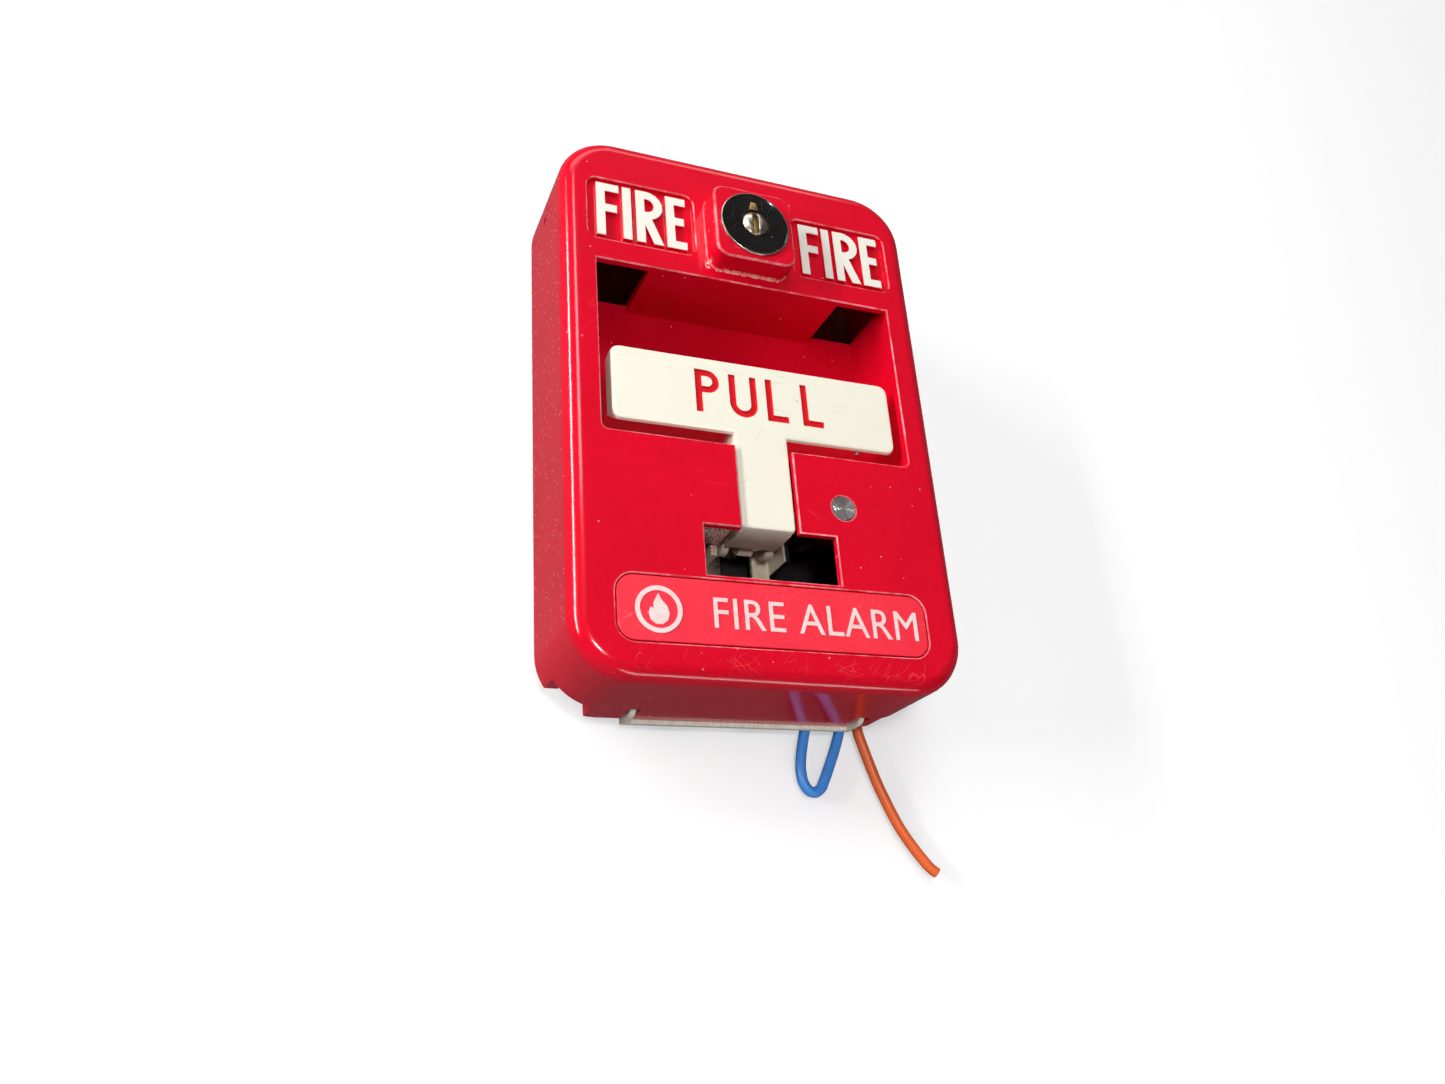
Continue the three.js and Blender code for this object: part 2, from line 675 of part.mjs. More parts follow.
function makeCover() {
  const boss = softBlock(-BOSS_HALF, BOSS_HALF, lockZ - BOSS_HALF, lockZ + BOSS_HALF, BOSS_R, 0.7,
    -BOSS_H, FRONT_WALL, 2, 3);
  const panels = join(...panelSpans.map(([x0, x1]) =>
    slab(roundedRect(x0, x1, panelBottom, panelTop, PANEL_R), -BEYOND, PANEL_SINK, 4)));
  const panelBacks = join(...panelSpans.map(([x0, x1]) =>
    block(x0 - 1, x1 + 1, FRONT_WALL / 2, FRONT_WALL + PANEL_SINK, panelBottom - 0.8, panelTop + 1)));
  const posts = join(...[-POST_X, POST_X].map((x) =>
    rod(POST_R, x, postZ, FRONT_WALL / 2, bracketFront - SEAT, 16)));
  const postHoles = [-POST_X, POST_X].map((x) =>
    shankHole(SMALL_SCREW, x, postZ, bracketFront - 8, bracketFront + BEYOND));
  const slotBack = BAR_FRONT + STEM_T + STEM_SPACE;
  const slotSpace = block(-SLOT_HALF, SLOT_HALF, -BEYOND, slotBack, windowTop - BEYOND,
    recessBottom + BEYOND);
  const windowSpace = block(-WINDOW_HALF, WINDOW_HALF, -BEYOND, FRONT_WALL + BEYOND, windowBottom, windowTop);
  const labelSpace = slab(roundedRect(-labelHalf, labelHalf, labelBottom, labelTop, LABEL_R),
    -BEYOND, LABEL_SINK, 5);
  const labelBack = block(-labelHalf - 1, labelHalf + 1, FRONT_WALL / 2, FRONT_WALL + LABEL_SINK,
    labelBottom + 1, labelTop + 0.3);
  const body = join(coverShell(), recessTray(), boss, panelBacks, labelBack, posts, hingeLugs());
  const open = cut(body, recessSpace(), ceilingOpenings(), slotSpace, windowSpace, labelSpace, panels,
    hingeCuts(), cornerNotches(),
    rod(LENS_R + FIT / 2, LENS_X, lensZ, -BEYOND, FRONT_WALL + BEYOND, 20),
    rod(LOCK_BODY_R + FIT / 2, 0, lockZ, -BOSS_H - BEYOND, FRONT_WALL + BEYOND, 28),
    crossRod(PRY_HOLE_R, PRY_HOLE_DEPTH, TOP_Z - PRY_HOLE_TOP, -HALF_W - BEYOND,
      -HALF_W + 2 * COVER_WALL, 10),
    ...postHoles);
  return join(open, castWords());
}

function makeLabel() {
  return slab(roundedRect(-labelHalf + FIT, labelHalf - FIT, labelBottom + FIT, labelTop - FIT,
    LABEL_R - FIT), LABEL_SINK - LABEL_T - SEAT, LABEL_SINK - SEAT, 5);
}

function makeLens() {
  return turned([
    [0, -0.3],
    [LENS_R * 0.55, -0.2],
    [LENS_R, 0.2],
    [LENS_R, FRONT_WALL + SEAT],
    [LENS_FLANGE_R, FRONT_WALL + SEAT],
    [LENS_FLANGE_R, FRONT_WALL + 1.2],
    [LENS_R, FRONT_WALL + 1.2],
    [LENS_R, LENS_LENGTH],
    [0, LENS_LENGTH],
  ], LENS_X, lensZ, 20);
}

function makeHandleBracket() {
  const legBottom = windowBottom - BRACKET_DROP;
  const upper = block(-BRACKET_HALF, BRACKET_HALF, bracketFront, bracketBack, bracketBar, bracketTop);
  const lower = block(-BRACKET_LEG_OUT, BRACKET_LEG_OUT, bracketFront, bracketBack, legBottom, legBottom + 3);
  const sides = [-1, 1].flatMap((side) => {
    const span = (a, b) => [Math.min(side * a, side * b), Math.max(side * a, side * b)];
    const earTop = pivotZ + BRACKET_EAR_RISE;
    const earBottom = pivotZ - BRACKET_EAR_DROP;
    return [
      block(...span(BRACKET_LEG_IN, BRACKET_LEG_OUT), bracketFront, bracketBack, legBottom, bracketTop),
      block(...span(BRACKET_LEG_OUT - 0.1, BRACKET_LEG_OUT + BRACKET_T), BRACKET_EAR_FRONT, bracketBack,
        earBottom, earTop),
    ];
  });
  const shelf = block(-WINDOW_HALF, -BRACKET_LEG_OUT - BRACKET_T / 2, FRONT_WALL + FIT,
    FRONT_WALL + FIT + SHELF_REACH, windowTop + FIT, windowTop + FIT + BRACKET_T);
  const shelfTie = block(-BRACKET_LEG_OUT - BRACKET_T, -BRACKET_LEG_OUT, FRONT_WALL + FIT, bracketBack,
    windowTop + FIT, pivotZ + BRACKET_EAR_RISE);
  const pinHole = crossRod(PIVOT_PIN_R + FIT / 2, PIVOT_DEPTH, pivotZ, -WINDOW_HALF, WINDOW_HALF, 16);
  const screwHoles = [-POST_X, POST_X].map((x) =>
    shankHole(SMALL_SCREW, x, postZ, bracketFront - BEYOND, bracketBack + BEYOND));
  return cut(join(upper, lower, shelf, shelfTie, ...sides), pinHole, ...screwHoles);
}

function makeDetentSpring() {
  const top = bracketBar - 1;
  const foot = windowBottom - BRACKET_DROP + 0.5;
  const front = bracketFront - SEAT;
  const t = 0.4;
  const touch = PIVOT_DEPTH + HANDLE_LUG_R + FIT;
  const shape = polygon([
    [front - t, foot],
    [front, foot],
    [front, foot + 4],
    [touch + t, pivotZ - 3],
    [touch + t, pivotZ + 1],
    [front, top],
    [front - t, top],
    [touch, pivotZ + 1],
    [touch, pivotZ - 3],
    [front - t, foot + 4],
  ]);
  return profile(shape, -BRACKET_LEG_OUT + 0.4, -BRACKET_LEG_IN - 0.2);
}

// ---------------------------------------------------------------------------------------------
// Lock: cylinder and nut stay with the cover, plug and cam turn
// ---------------------------------------------------------------------------------------------

function makeLockCylinder() {
  const face = -BOSS_H - LOCK_FACE_T;
  const seat = -BOSS_H - SEAT;
  const bore = PLUG_R + FIT / 2;
  return turned([
    [bore, face],
    [LOCK_FACE_R - 0.3, face],
    [LOCK_FACE_R, face + 0.2],
    [LOCK_FACE_R, seat],
    [LOCK_BODY_R, seat],
    [LOCK_BODY_R, LOCK_BODY_END],
    [bore, LOCK_BODY_END],
    [bore, face],
  ], 0, lockZ, 32);
}

function makeLockNut() {
  const d0 = FRONT_WALL + SEAT;
  const nut = rod(LOCK_NUT_R, 0, lockZ, d0, d0 + LOCK_NUT_T, 6);
  return cut(nut, rod(LOCK_BODY_R + FIT / 2, 0, lockZ, d0 - BEYOND, d0 + LOCK_NUT_T + BEYOND, 28));
}

function makeLockPlug() {
  const face = -BOSS_H - LOCK_FACE_T;
  const plug = turned([
    [0, face - PLUG_DOME],
    [PLUG_R * 0.6, face - PLUG_DOME * 0.7],
    [PLUG_R, face],
    [PLUG_R, CAM_FRONT - SEAT],
    [0, CAM_FRONT - SEAT],
  ], 0, lockZ, 24);
  const keyway = block(-KEYWAY_W / 2, KEYWAY_W / 2, face - BEYOND, face + KEYWAY_DEPTH,
    lockZ - KEYWAY_H / 2, lockZ + KEYWAY_H / 2);
  const screwHole = rod(TINY_SCREW.shank + FIT / 2, 0, lockZ, CAM_FRONT - 6, CAM_FRONT, 16);
  return cut(plug, keyway, screwHole);
}

// The cam hangs down while the lock is open.
function makeLockCam() {
  const arm = block(-CAM_HALF, CAM_HALF, CAM_FRONT, CAM_FRONT + CAM_T, lockZ - CAM_LENGTH, lockZ);
  const hub = rod(CAM_HALF, 0, lockZ, CAM_FRONT, CAM_FRONT + CAM_T, 24);
  const hole = shankHole(TINY_SCREW, 0, lockZ, CAM_FRONT - BEYOND, CAM_FRONT + CAM_T + BEYOND);
  return cut(join(arm, hub), hole);
}

// ---------------------------------------------------------------------------------------------
// Handle
// ---------------------------------------------------------------------------------------------

// Wedge that slopes the bar's edge at z inwards, up where way is 1 and down where it is -1.
function barSlope(z, way) {
  const start = BAR_FRONT + BAR_LAND;
  const run = BAR_T - BAR_LAND;
  const end = start + run + 1;
  return profile(polygon([
    [start, z],
    [end, z + way * BAR_SLOPE * (run + 1) / run],
    [end, z - way],
    [start, z - way],
  ]), -recessHalf, recessHalf);
}

function makeHandle() {
  const barHalf = recessHalf - BAR_GAP;
  const barBottom = recessBottom + BAR_BOTTOM;
  const barTop = barBottom + BAR_H;
  const stemBottom = windowTop + STEM_END;
  const fullBar = softBlock(-barHalf, barHalf, barBottom, barTop, BAR_R, 0.8, BAR_FRONT,
    BAR_FRONT + BAR_T, 2, 3, BAR_BACK_EDGE);
  const gripBar = cut(fullBar, barSlope(barBottom, 1), barSlope(barTop, -1));
  const stem = softBlock(-STEM_HALF, STEM_HALF, stemBottom, barTop - BAR_SLOPE - 1, 1, 0.8, BAR_FRONT,
    BAR_FRONT + BAR_T, 2, 2);
  const deepStem = profile(polygon([
    [BAR_FRONT + 2, stemBottom],
    [BAR_FRONT + STEM_T, stemBottom],
    [BAR_FRONT + STEM_T, recessBottom - 2],
    [BAR_FRONT + BAR_T, recessBottom + NECK_RISE],
    [BAR_FRONT + 2, recessBottom + NECK_RISE],
  ]), -STEM_HALF + 0.4, STEM_HALF - 0.4);
  const lugs = [-1, 1].flatMap((side) => {
    const [x0, x1] = side < 0 ? [-HANDLE_LUG_OUT, -HANDLE_LUG_IN] : [HANDLE_LUG_IN, HANDLE_LUG_OUT];
    return [
      crossRod(HANDLE_LUG_R, PIVOT_DEPTH, pivotZ, x0, x1, 20),
      block(x0, x1, BAR_FRONT + STEM_T - 1, PIVOT_DEPTH, pivotZ - HANDLE_LUG_R * 0.6, pivotZ + HANDLE_LUG_R),
    ];
  });
  const tail = profile(polygon([
    [BAR_FRONT + STEM_T - 1, pivotZ - 1],
    [PIVOT_DEPTH, pivotZ - 3],
    [tailDepth, pivotZ + TAIL_RISE - TAIL_R],
    [tailDepth, pivotZ + TAIL_RISE + TAIL_R],
    [PIVOT_DEPTH, pivotZ + 3],
    [BAR_FRONT + STEM_T - 1, pivotZ + 3],
  ]), -TAIL_HALF, TAIL_HALF);
  const tailTip = crossRod(TAIL_R, tailDepth, pivotZ + TAIL_RISE, -TAIL_HALF, TAIL_HALF, 14);
  const bore = crossRod(PIVOT_PIN_R + FIT / 2, PIVOT_DEPTH, pivotZ, -WINDOW_HALF, WINDOW_HALF, 16);
  const engraved = word(PULL, 0, barBottom + PULL_RISE, PULL_H, PULL_STROKE, BAR_FRONT - BEYOND,
    BAR_FRONT + ENGRAVING);
  return cut(join(gripBar, stem, deepStem, ...lugs, tail, tailTip), bore, engraved);
}

// ---------------------------------------------------------------------------------------------
// Pan and what is fastened to it
// ---------------------------------------------------------------------------------------------

function panTray() {
  const inset = COVER_WALL + FIT;
  const r = COVER_CORNER_R - inset;
  const outer = slab(roundedRect(-HALF_W + inset, HALF_W - inset, FOOT_Z + inset, TOP_Z - inset, r),
    flangeFront, STATION_DEPTH, 7);
  const in2 = inset + PAN_FLANGE_T;
  const inner = slab(roundedRect(-HALF_W + in2, HALF_W - in2, FOOT_Z + in2, TOP_Z - in2, r - PAN_FLANGE_T),
    flangeFront - BEYOND, panFront, 7);
  const below = block(-HALF_W, HALF_W, flangeFront - BEYOND, STATION_DEPTH + BEYOND, FOOT_Z, panFoot);
  return cut(outer, inner, below);
}

function gangHole(z) {
  return slab(roundedRect(-GANG_HOLE_R, GANG_HOLE_R, z - GANG_SLOT, z + GANG_SLOT, GANG_HOLE_R - 0.01),
    panFront - BEYOND, STATION_DEPTH + BEYOND, 6);
}

// The pan's foot: legs that step forward to a lip, with a hinge ear turned forward at each end.
function panLip() {
  const lipBack = lipFront + LIP_T;
  const lipTop = lipBottom + LIP_H;
  const lip = block(LIP_LEFT, LIP_RIGHT, lipFront, lipBack, lipBottom, lipTop);
  const legs = LEG_SPANS.map(([x0, x1]) => profile(polygon([
    [lipFront, lipTop - 1],
    [lipBack, lipTop - 1],
    [lipBack, lipTop - 0.4],
    [STATION_DEPTH, panFoot - 2],
    [STATION_DEPTH, panFoot + 1],
    [panFront, panFoot + 1],
    [panFront, panFoot - 1.3],
    [lipFront, lipTop + 0.3],
  ]), x0, x1));
  const ears = [LIP_LEFT, LIP_RIGHT - LIP_T].flatMap((x) => [
    block(x, x + LIP_T, hingeDepth, lipBack, lipBottom, hingeZ + HINGE_EAR_R),
    crossRod(HINGE_EAR_R, hingeDepth, hingeZ, x, x + LIP_T, 20),
  ]);
  return join(lip, ...legs, ...ears);
}

const strikeScrews = [-2.8, 2.8].map((dz) => [STRIKE_NEAR + 10.5 + STRIKE_FOOT / 2, lockZ + dz]);
const footScrews = [0.22, 0.78].map((share) => [bracketFaceX - SWITCH_BRACKET_T - SWITCH_FOOT / 2,
  switchBottom + share * SWITCH_H]);
const moduleScrews = [[-9.5, windowBottom + 4.5], [31, windowTop - 4.5]];
const groundScrew = [-28, panFoot + 6];

function makePan() {
  const cable = slab(roundedRect(-CABLE_HALF, CABLE_HALF, switchTop + CABLE_RISE, lockZ - CABLE_TOP, CABLE_R),
    panFront - BEYOND, STATION_DEPTH + BEYOND, 5);
  const threads = [...strikeScrews, ...footScrews, ...moduleScrews, groundScrew].map(([x, z]) =>
    shankHole(SMALL_SCREW, x, z, panFront - BEYOND, STATION_DEPTH + BEYOND));
  const pins = HINGE_EARS.map((x) =>
    crossRod(HINGE_PIN_R + FIT / 2, hingeDepth, hingeZ, x - LIP_T, x + LIP_T, 16));
  return cut(join(panTray(), panLip()), cable, gangHole(GANG_SPACING / 2), gangHole(-GANG_SPACING / 2),
    ...threads, ...pins);
}

function makeHingePin(x) {
  const half = HINGE_SLOT_W / 2 + HINGE_LUG_W - FIT;
  return crossRod(HINGE_PIN_R, hingeDepth, hingeZ, x - half, x + half, 16);
}

function makeStrike() {
  const lipBack = CAM_FRONT - 0.5;
  const lipFront = lipBack - STRIKE_T;
  const webX = STRIKE_NEAR + 9;
  const z0 = lockZ - STRIKE_H / 2;
  const z1 = lockZ + STRIKE_H / 2;
  const seat = panFront - SEAT;
  const plate = join(
    block(STRIKE_NEAR, webX + STRIKE_T, lipFront, lipBack, z0, z1),
    block(webX, webX + STRIKE_T, lipFront, seat, z0, z1),
    block(webX, webX + STRIKE_T + STRIKE_FOOT, seat - STRIKE_T, seat, z0, z1));
  const holes = strikeScrews.map(([x, z]) => shankHole(SMALL_SCREW, x, z, seat - 2 * STRIKE_T, panFront));
  return cut(plate, ...holes);
}

const switchScrews = [0.18, 0.82].map((share) => switchBottom + share * SWITCH_H);
const switchScrewDepth = switchFront + SWITCH_T * 0.55;

function makeSwitch() {
  const half = SWITCH_W / 2;
  const body = block(-half, half, switchFront, switchFront + SWITCH_T, switchBottom, switchTop);
  const holes = switchScrews.map((z) => crossHole(TINY_SCREW, switchScrewDepth, z, -half - 1, half + 1));
  return cut(body, ...holes);
}

function makeTab(depth) {
  return block(-TAB_W / 2, TAB_W / 2, depth, depth + TAB_T, switchTop + SEAT, switchTop + TAB_H);
}

const tabDepths = [switchFront + 1.2, switchFront + SWITCH_T - 1.2 - TAB_T];

// Lever arm on the switch's face: a thin strip with a rolled barrel at its pivot.
function makeLever() {
  const tip = pivotZ - 0.5;
  const pivot = switchTop - LEVER_BARREL_R - 0.4;
  const strip = block(-LEVER_HALF, LEVER_HALF, leverFront, leverFront + LEVER_T, tip, pivot);
  const barrel = crossRod(LEVER_BARREL_R * 0.5, leverFront + LEVER_T / 2, pivot, -LEVER_HALF - 0.8,
    LEVER_HALF + 0.8, 12);
  return join(strip, barrel);
}

function makeSwitchBracket() {
  const x1 = bracketFaceX;
  const x0 = x1 - SWITCH_BRACKET_T;
  const seat = panFront - SEAT;
  const plate = join(
    block(x0, x1, switchFront, seat, switchBottom, switchTop),
    block(x0 - SWITCH_FOOT, x1, seat - SWITCH_BRACKET_T, seat, switchBottom, switchTop));
  return cut(plate,
    ...footScrews.map(([x, z]) => shankHole(SMALL_SCREW, x, z, seat - 2 * SWITCH_BRACKET_T, panFront)),
    ...switchScrews.map((z) => crossHole(TINY_SCREW, switchScrewDepth, z, x0 - 1, x1 + 1)));
}

const moduleLow = switchBottom - MODULE_GAP;
const moduleHigh = Math.max(lensZ + MODULE_TOP, moduleLow);
const moduleFoot = windowBottom + MODULE_BOTTOM;
const moduleBack = panFront - SEAT;

function makeModule() {
  const wide = block(MODULE_LEFT, MODULE_RIGHT, moduleFront, moduleBack, moduleFoot, moduleLow);
  const tall = block(MODULE_STEP_X, MODULE_RIGHT, moduleFront, moduleBack, moduleFoot, moduleHigh);
  const pockets = moduleScrews.map(([x, z]) =>
    rod(SMALL_SCREW.head + FIT, x, z, moduleFront - BEYOND, moduleBack - MODULE_FLOOR, 16));
  const holes = moduleScrews.map(([x, z]) =>
    shankHole(SMALL_SCREW, x, z, moduleFront, panFront));
  return cut(join(wide, tall), ...pockets, ...holes);
}

const ledBase = moduleFront - SEAT - 7;

function makeLed() {
  return turned([
    [0, ledBase - LED_LENGTH],
    [LED_R * 0.7, ledBase - LED_LENGTH + 0.45],
    [LED_R, ledBase - LED_LENGTH + 1.5],
    [LED_R, ledBase - 0.6],
    [LED_R + 0.35, ledBase - 0.6],
    [LED_R + 0.35, ledBase],
    [0, ledBase],
  ], LENS_X, lensZ, 16);
}

function makeLedSpacer() {
  return rod(LED_R + 0.2, LENS_X, lensZ, ledBase + SEAT, moduleFront - SEAT, 16);
}

const terminalX = (i) => (BLOCK_LEFT + BLOCK_RIGHT) / 2 + (i - (TERMINAL_COUNT - 1) / 2) * TERMINAL_PITCH;
const terminals = Array.from({ length: TERMINAL_COUNT }, (_, i) => terminalX(i));
const terminalZ = (blockTop + blockBottom) / 2;

function makeTerminalBlock() {
  const low = block(BLOCK_LEFT, BLOCK_RIGHT, BLOCK_STEP, moduleBack, blockBottom, blockTop);
  const high = block(BLOCK_LEFT, BLOCK_RIGHT, BLOCK_FRONT, BLOCK_STEP + 1, blockBottom + 2, blockTop - 2);
  const wells = terminals.flatMap((x) => [
    rod(TERMINAL_SCREW.head + FIT, x, terminalZ, BLOCK_FRONT - BEYOND, BLOCK_FRONT + 2, 14),
    rod(TERMINAL_SCREW.shank + FIT / 2, x, terminalZ, BLOCK_FRONT, BLOCK_FRONT + 7, 12),
  ]);
  const ports = terminals.map((x) => {
    const port = new THREE.CylinderGeometry(TERMINAL_PORT_R, TERMINAL_PORT_R, 4, 12);
    port.rotateX(Math.PI / 2);
    port.translate(x, at(TERMINAL_PORT_DEPTH), blockBottom);
    return solid(port);
  });
  return cut(join(low, high), ...wells, ...ports);
}

// ---------------------------------------------------------------------------------------------
// Wires
// ---------------------------------------------------------------------------------------------

function wire(points, radius, steps, sides = 8) {
  const path = new THREE.CatmullRomCurve3(points.map(([x, y, z]) => new THREE.Vector3(x, y, z)));
  const section = new THREE.Shape();
  for (let i = 0; i < sides; i++) {
    const angle = (2 * Math.PI * (i + 0.5)) / sides;
    const [a, b] = [radius * Math.cos(angle), radius * Math.sin(angle)];
    if (i === 0) section.moveTo(a, b);
    else section.lineTo(a, b);
  }
  section.closePath();
  return solid(new THREE.ExtrudeGeometry(section, { steps, bevelEnabled: false, extrudePath: path }));
}

// Lead from a switch tab, over the switch's end and down into the module's top.
function leadRoute(depth, x) {
  const start = switchTop + TAB_H + FIT;
  const y = at(depth);
  return [
    [0, y, start],
    [0.6, y, start + 1.6],
    [2.6, y, start + 2.6],
    [x - 2.5, y, start + 2],
    [x - 0.4, y, start - 0.8],
    [x, y, start - 4],
    [x, y, (start + moduleHigh) / 2],
    [x, y, moduleHigh + FIT],
  ];
}

// ---------------------------------------------------------------------------------------------
// Assembly
// ---------------------------------------------------------------------------------------------

place(mounted, "mounting_pan", makePan(), zincSteel);
place(mounted, "hinge_pin_left", makeHingePin(HINGE_EARS[0]), screwSteel);
place(mounted, "hinge_pin_right", makeHingePin(HINGE_EARS[1]), screwSteel);

place(mounted, "strike_plate", makeStrike(), zincSteel);
strikeScrews.forEach(([x, z], i) =>
  placeScrew(mounted, `strike_screw_${i + 1}`, SMALL_SCREW, PAN_T + STRIKE_T, x,
    panFront - STRIKE_T - 2 * SEAT, z, "front"));

place(mounted, "switch_bracket", makeSwitchBracket(), zincSteel);
footScrews.forEach(([x, z], i) =>
  placeScrew(mounted, `bracket_screw_${i + 1}`, SMALL_SCREW, PAN_T + SWITCH_BRACKET_T, x,
    panFront - SWITCH_BRACKET_T - 2 * SEAT, z, "front"));
place(mounted, "switch_body", makeSwitch(), blackPlastic);
tabDepths.forEach((depth, i) => place(mounted, `switch_tab_${i + 1}`, makeTab(depth), brass));
switchScrews.forEach((z, i) =>
  placeScrew(mounted, `switch_screw_${i + 1}`, TINY_SCREW, SWITCH_W + FIT + SWITCH_BRACKET_T,
    SWITCH_W / 2 + SEAT, switchScrewDepth, z, "right"));

place(mounted, "module_housing", makeModule(), blackPlastic);
moduleScrews.forEach(([x, z], i) =>
  placeScrew(mounted, `module_screw_${i + 1}`, SMALL_SCREW, MODULE_FLOOR + PAN_T, x,
    moduleBack - MODULE_FLOOR - SEAT, z, "front"));
place(mounted, "led", makeLed(), clearPlastic);
place(mounted, "led_spacer", makeLedSpacer(), whitePlastic);
place(mounted, "terminal_block", makeTerminalBlock(), blackPlastic);
terminals.forEach((x, i) =>
  placeScrew(mounted, `terminal_screw_${i + 1}`, TERMINAL_SCREW, 5, x, BLOCK_FRONT + 2 - SEAT, terminalZ,
    "front"));
placeScrew(mounted, "ground_screw", SMALL_SCREW, PAN_T - FIT, groundScrew[0], panFront - SEAT,
  groundScrew[1], "front", greenPaint);

place(mounted, "switch_lead_black", wire(leadRoute(tabDepths[0], 13), 0.6, 16, 6), blackWire);
place(mounted, "switch_lead_red", wire(leadRoute(tabDepths[1], 17), 0.6, 16, 6), redWire);
place(mounted, "blue_wire", wire(BLUE_ROUTE, WIRE_R, 26), blueWire);
place(mounted, "orange_wire", wire(ORANGE_ROUTE, WIRE_R, 18), orangeWire);

place(coverGroup, "cover", makeCover(), redPaint);
place(coverGroup, "label_plate", makeLabel(), labelRed);
place(coverGroup, "status_lens", makeLens(), clearPlastic);
place(coverGroup, "handle_bracket", makeHandleBracket(), zincSteel);
place(coverGroup, "detent_spring", makeDetentSpring(), zincSteel);
place(coverGroup, "pivot_pin", crossRod(PIVOT_PIN_R, PIVOT_DEPTH, pivotZ, -BRACKET_LEG_OUT - BRACKET_T - 0.8,
  BRACKET_LEG_OUT + BRACKET_T + 0.8, 16), screwSteel);
[-POST_X, POST_X].forEach((x, i) =>
  placeScrew(coverGroup, `post_screw_${i + 1}`, SMALL_SCREW, 6, x, bracketBack + SEAT, postZ, "back"));
place(coverGroup, "lock_cylinder", makeLockCylinder(), lockBlack);
place(coverGroup, "lock_nut", makeLockNut(), chrome);

place(lockGroup, "lock_plug", makeLockPlug(), brass);
place(lockGroup, "lock_cam", makeLockCam(), screwSteel);
placeScrew(lockGroup, "cam_screw", TINY_SCREW, 5, 0, CAM_FRONT + CAM_T + SEAT, lockZ, "back");

place(handleGroup, "pull_handle", makeHandle(), ivoryPaint);
place(leverGroup, "switch_lever", makeLever(), zincSteel);

export default station;
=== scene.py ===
"""Visual model of a wall-mounted fire alarm pull station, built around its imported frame."""

import json
import math

import bmesh
import bpy
from bpy.props import FloatProperty, FloatVectorProperty, IntProperty, PointerProperty
from mathutils import Matrix, Vector

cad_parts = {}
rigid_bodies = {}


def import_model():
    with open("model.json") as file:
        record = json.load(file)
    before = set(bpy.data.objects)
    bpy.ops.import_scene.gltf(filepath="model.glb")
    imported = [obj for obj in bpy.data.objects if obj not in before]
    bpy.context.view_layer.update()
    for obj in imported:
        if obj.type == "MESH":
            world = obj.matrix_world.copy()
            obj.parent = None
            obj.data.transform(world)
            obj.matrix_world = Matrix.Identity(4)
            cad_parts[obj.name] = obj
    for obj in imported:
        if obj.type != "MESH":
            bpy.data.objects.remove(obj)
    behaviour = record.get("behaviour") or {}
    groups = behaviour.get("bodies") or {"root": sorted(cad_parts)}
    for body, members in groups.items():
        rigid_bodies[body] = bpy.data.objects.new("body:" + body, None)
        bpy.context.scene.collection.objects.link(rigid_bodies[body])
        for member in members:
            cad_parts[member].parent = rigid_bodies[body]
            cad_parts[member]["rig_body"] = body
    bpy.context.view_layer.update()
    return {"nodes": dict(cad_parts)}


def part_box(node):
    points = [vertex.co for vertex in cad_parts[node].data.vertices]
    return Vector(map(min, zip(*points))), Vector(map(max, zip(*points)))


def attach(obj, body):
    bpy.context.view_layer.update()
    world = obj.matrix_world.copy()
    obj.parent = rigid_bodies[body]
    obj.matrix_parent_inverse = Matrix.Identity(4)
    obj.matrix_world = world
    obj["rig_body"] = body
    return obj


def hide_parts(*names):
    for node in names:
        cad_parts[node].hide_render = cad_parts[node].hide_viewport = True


bl_info = {
    "name": "Pull Station Visual Model",
    "version": (1, 0, 0),
    "blender": (4, 5, 0),
    "location": "View3D > Sidebar > Pull Station",
    "description": "Builds the painted, plated and moulded pieces of a fire alarm pull station",
    "category": "Object",
}

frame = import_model()

# ---------------------------------------------------------------------------------------------
# Places that the frame doesn't name, in metres
# ---------------------------------------------------------------------------------------------

MM = 0.001
FRONT_Y = -0.0317  # the cover's front plane
FRONT_REACH = 0.0006  # how far behind the front plane an edge still counts as a front edge
WORD_PAINT = 0.00018  # how far the white paint reaches down the words' sides
LOCK_Z = 0.0407
LENS_X, LENS_Z = 0.01685, -0.02262
LABEL_FACE_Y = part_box("label_plate")[0].y
PRINT_DEPTH = 0.00012  # how far the label's print stands off its plate
LABEL_WORDS_WIDE = 0.0440
THREAD_PITCH = 0.0005
BLUE_ROUTE = [
    (21.1, -5.7, -50.3), (21.05, -5.4, -52), (20.7, -3.8, -54), (20.0, -2.1, -56.2),
    (19.1, -1.95, -58.8), (18.2, -1.95, -61.3), (17.3, -1.95, -64.5), (16.6, -1.95, -67.7),
    (16.4, -1.95, -70.5), (16.95, -1.95, -72.95), (18.5, -1.95, -74.4), (20.4, -1.95, -73.85),
    (21.75, -1.95, -71.75), (23.0, -1.95, -69.3), (24.2, -1.95, -66.8), (25.4, -1.95, -64.1),
    (26.4, -1.95, -61.3), (26.75, -1.95, -58.8), (26.75, -2.1, -56.2), (26.65, -3.8, -54),
    (26.6, -5.4, -52), (26.6, -5.7, -50.3),
]
ORANGE_ROUTE = [
    (32.1, -5.7, -50.3), (32.05, -5.4, -52), (31.75, -3.8, -54), (31.3, -2.1, -56.2),
    (31.0, -1.95, -58.8), (31.05, -1.95, -61.3), (31.75, -1.95, -64), (32.6, -1.95, -66.9),
    (33.5, -1.95, -69.8), (34.5, -1.95, -72.8), (35.8, -1.95, -76), (37.25, -1.95, -79.3),
    (38.85, -2.0, -82.4), (40.75, -2.1, -85.4), (42.8, -2.2, -88.2), (44.8, -2.4, -90.6),
    (45.9, -2.5, -91.4),
]

# ---------------------------------------------------------------------------------------------
# Sizes and colours that a user would change
# ---------------------------------------------------------------------------------------------


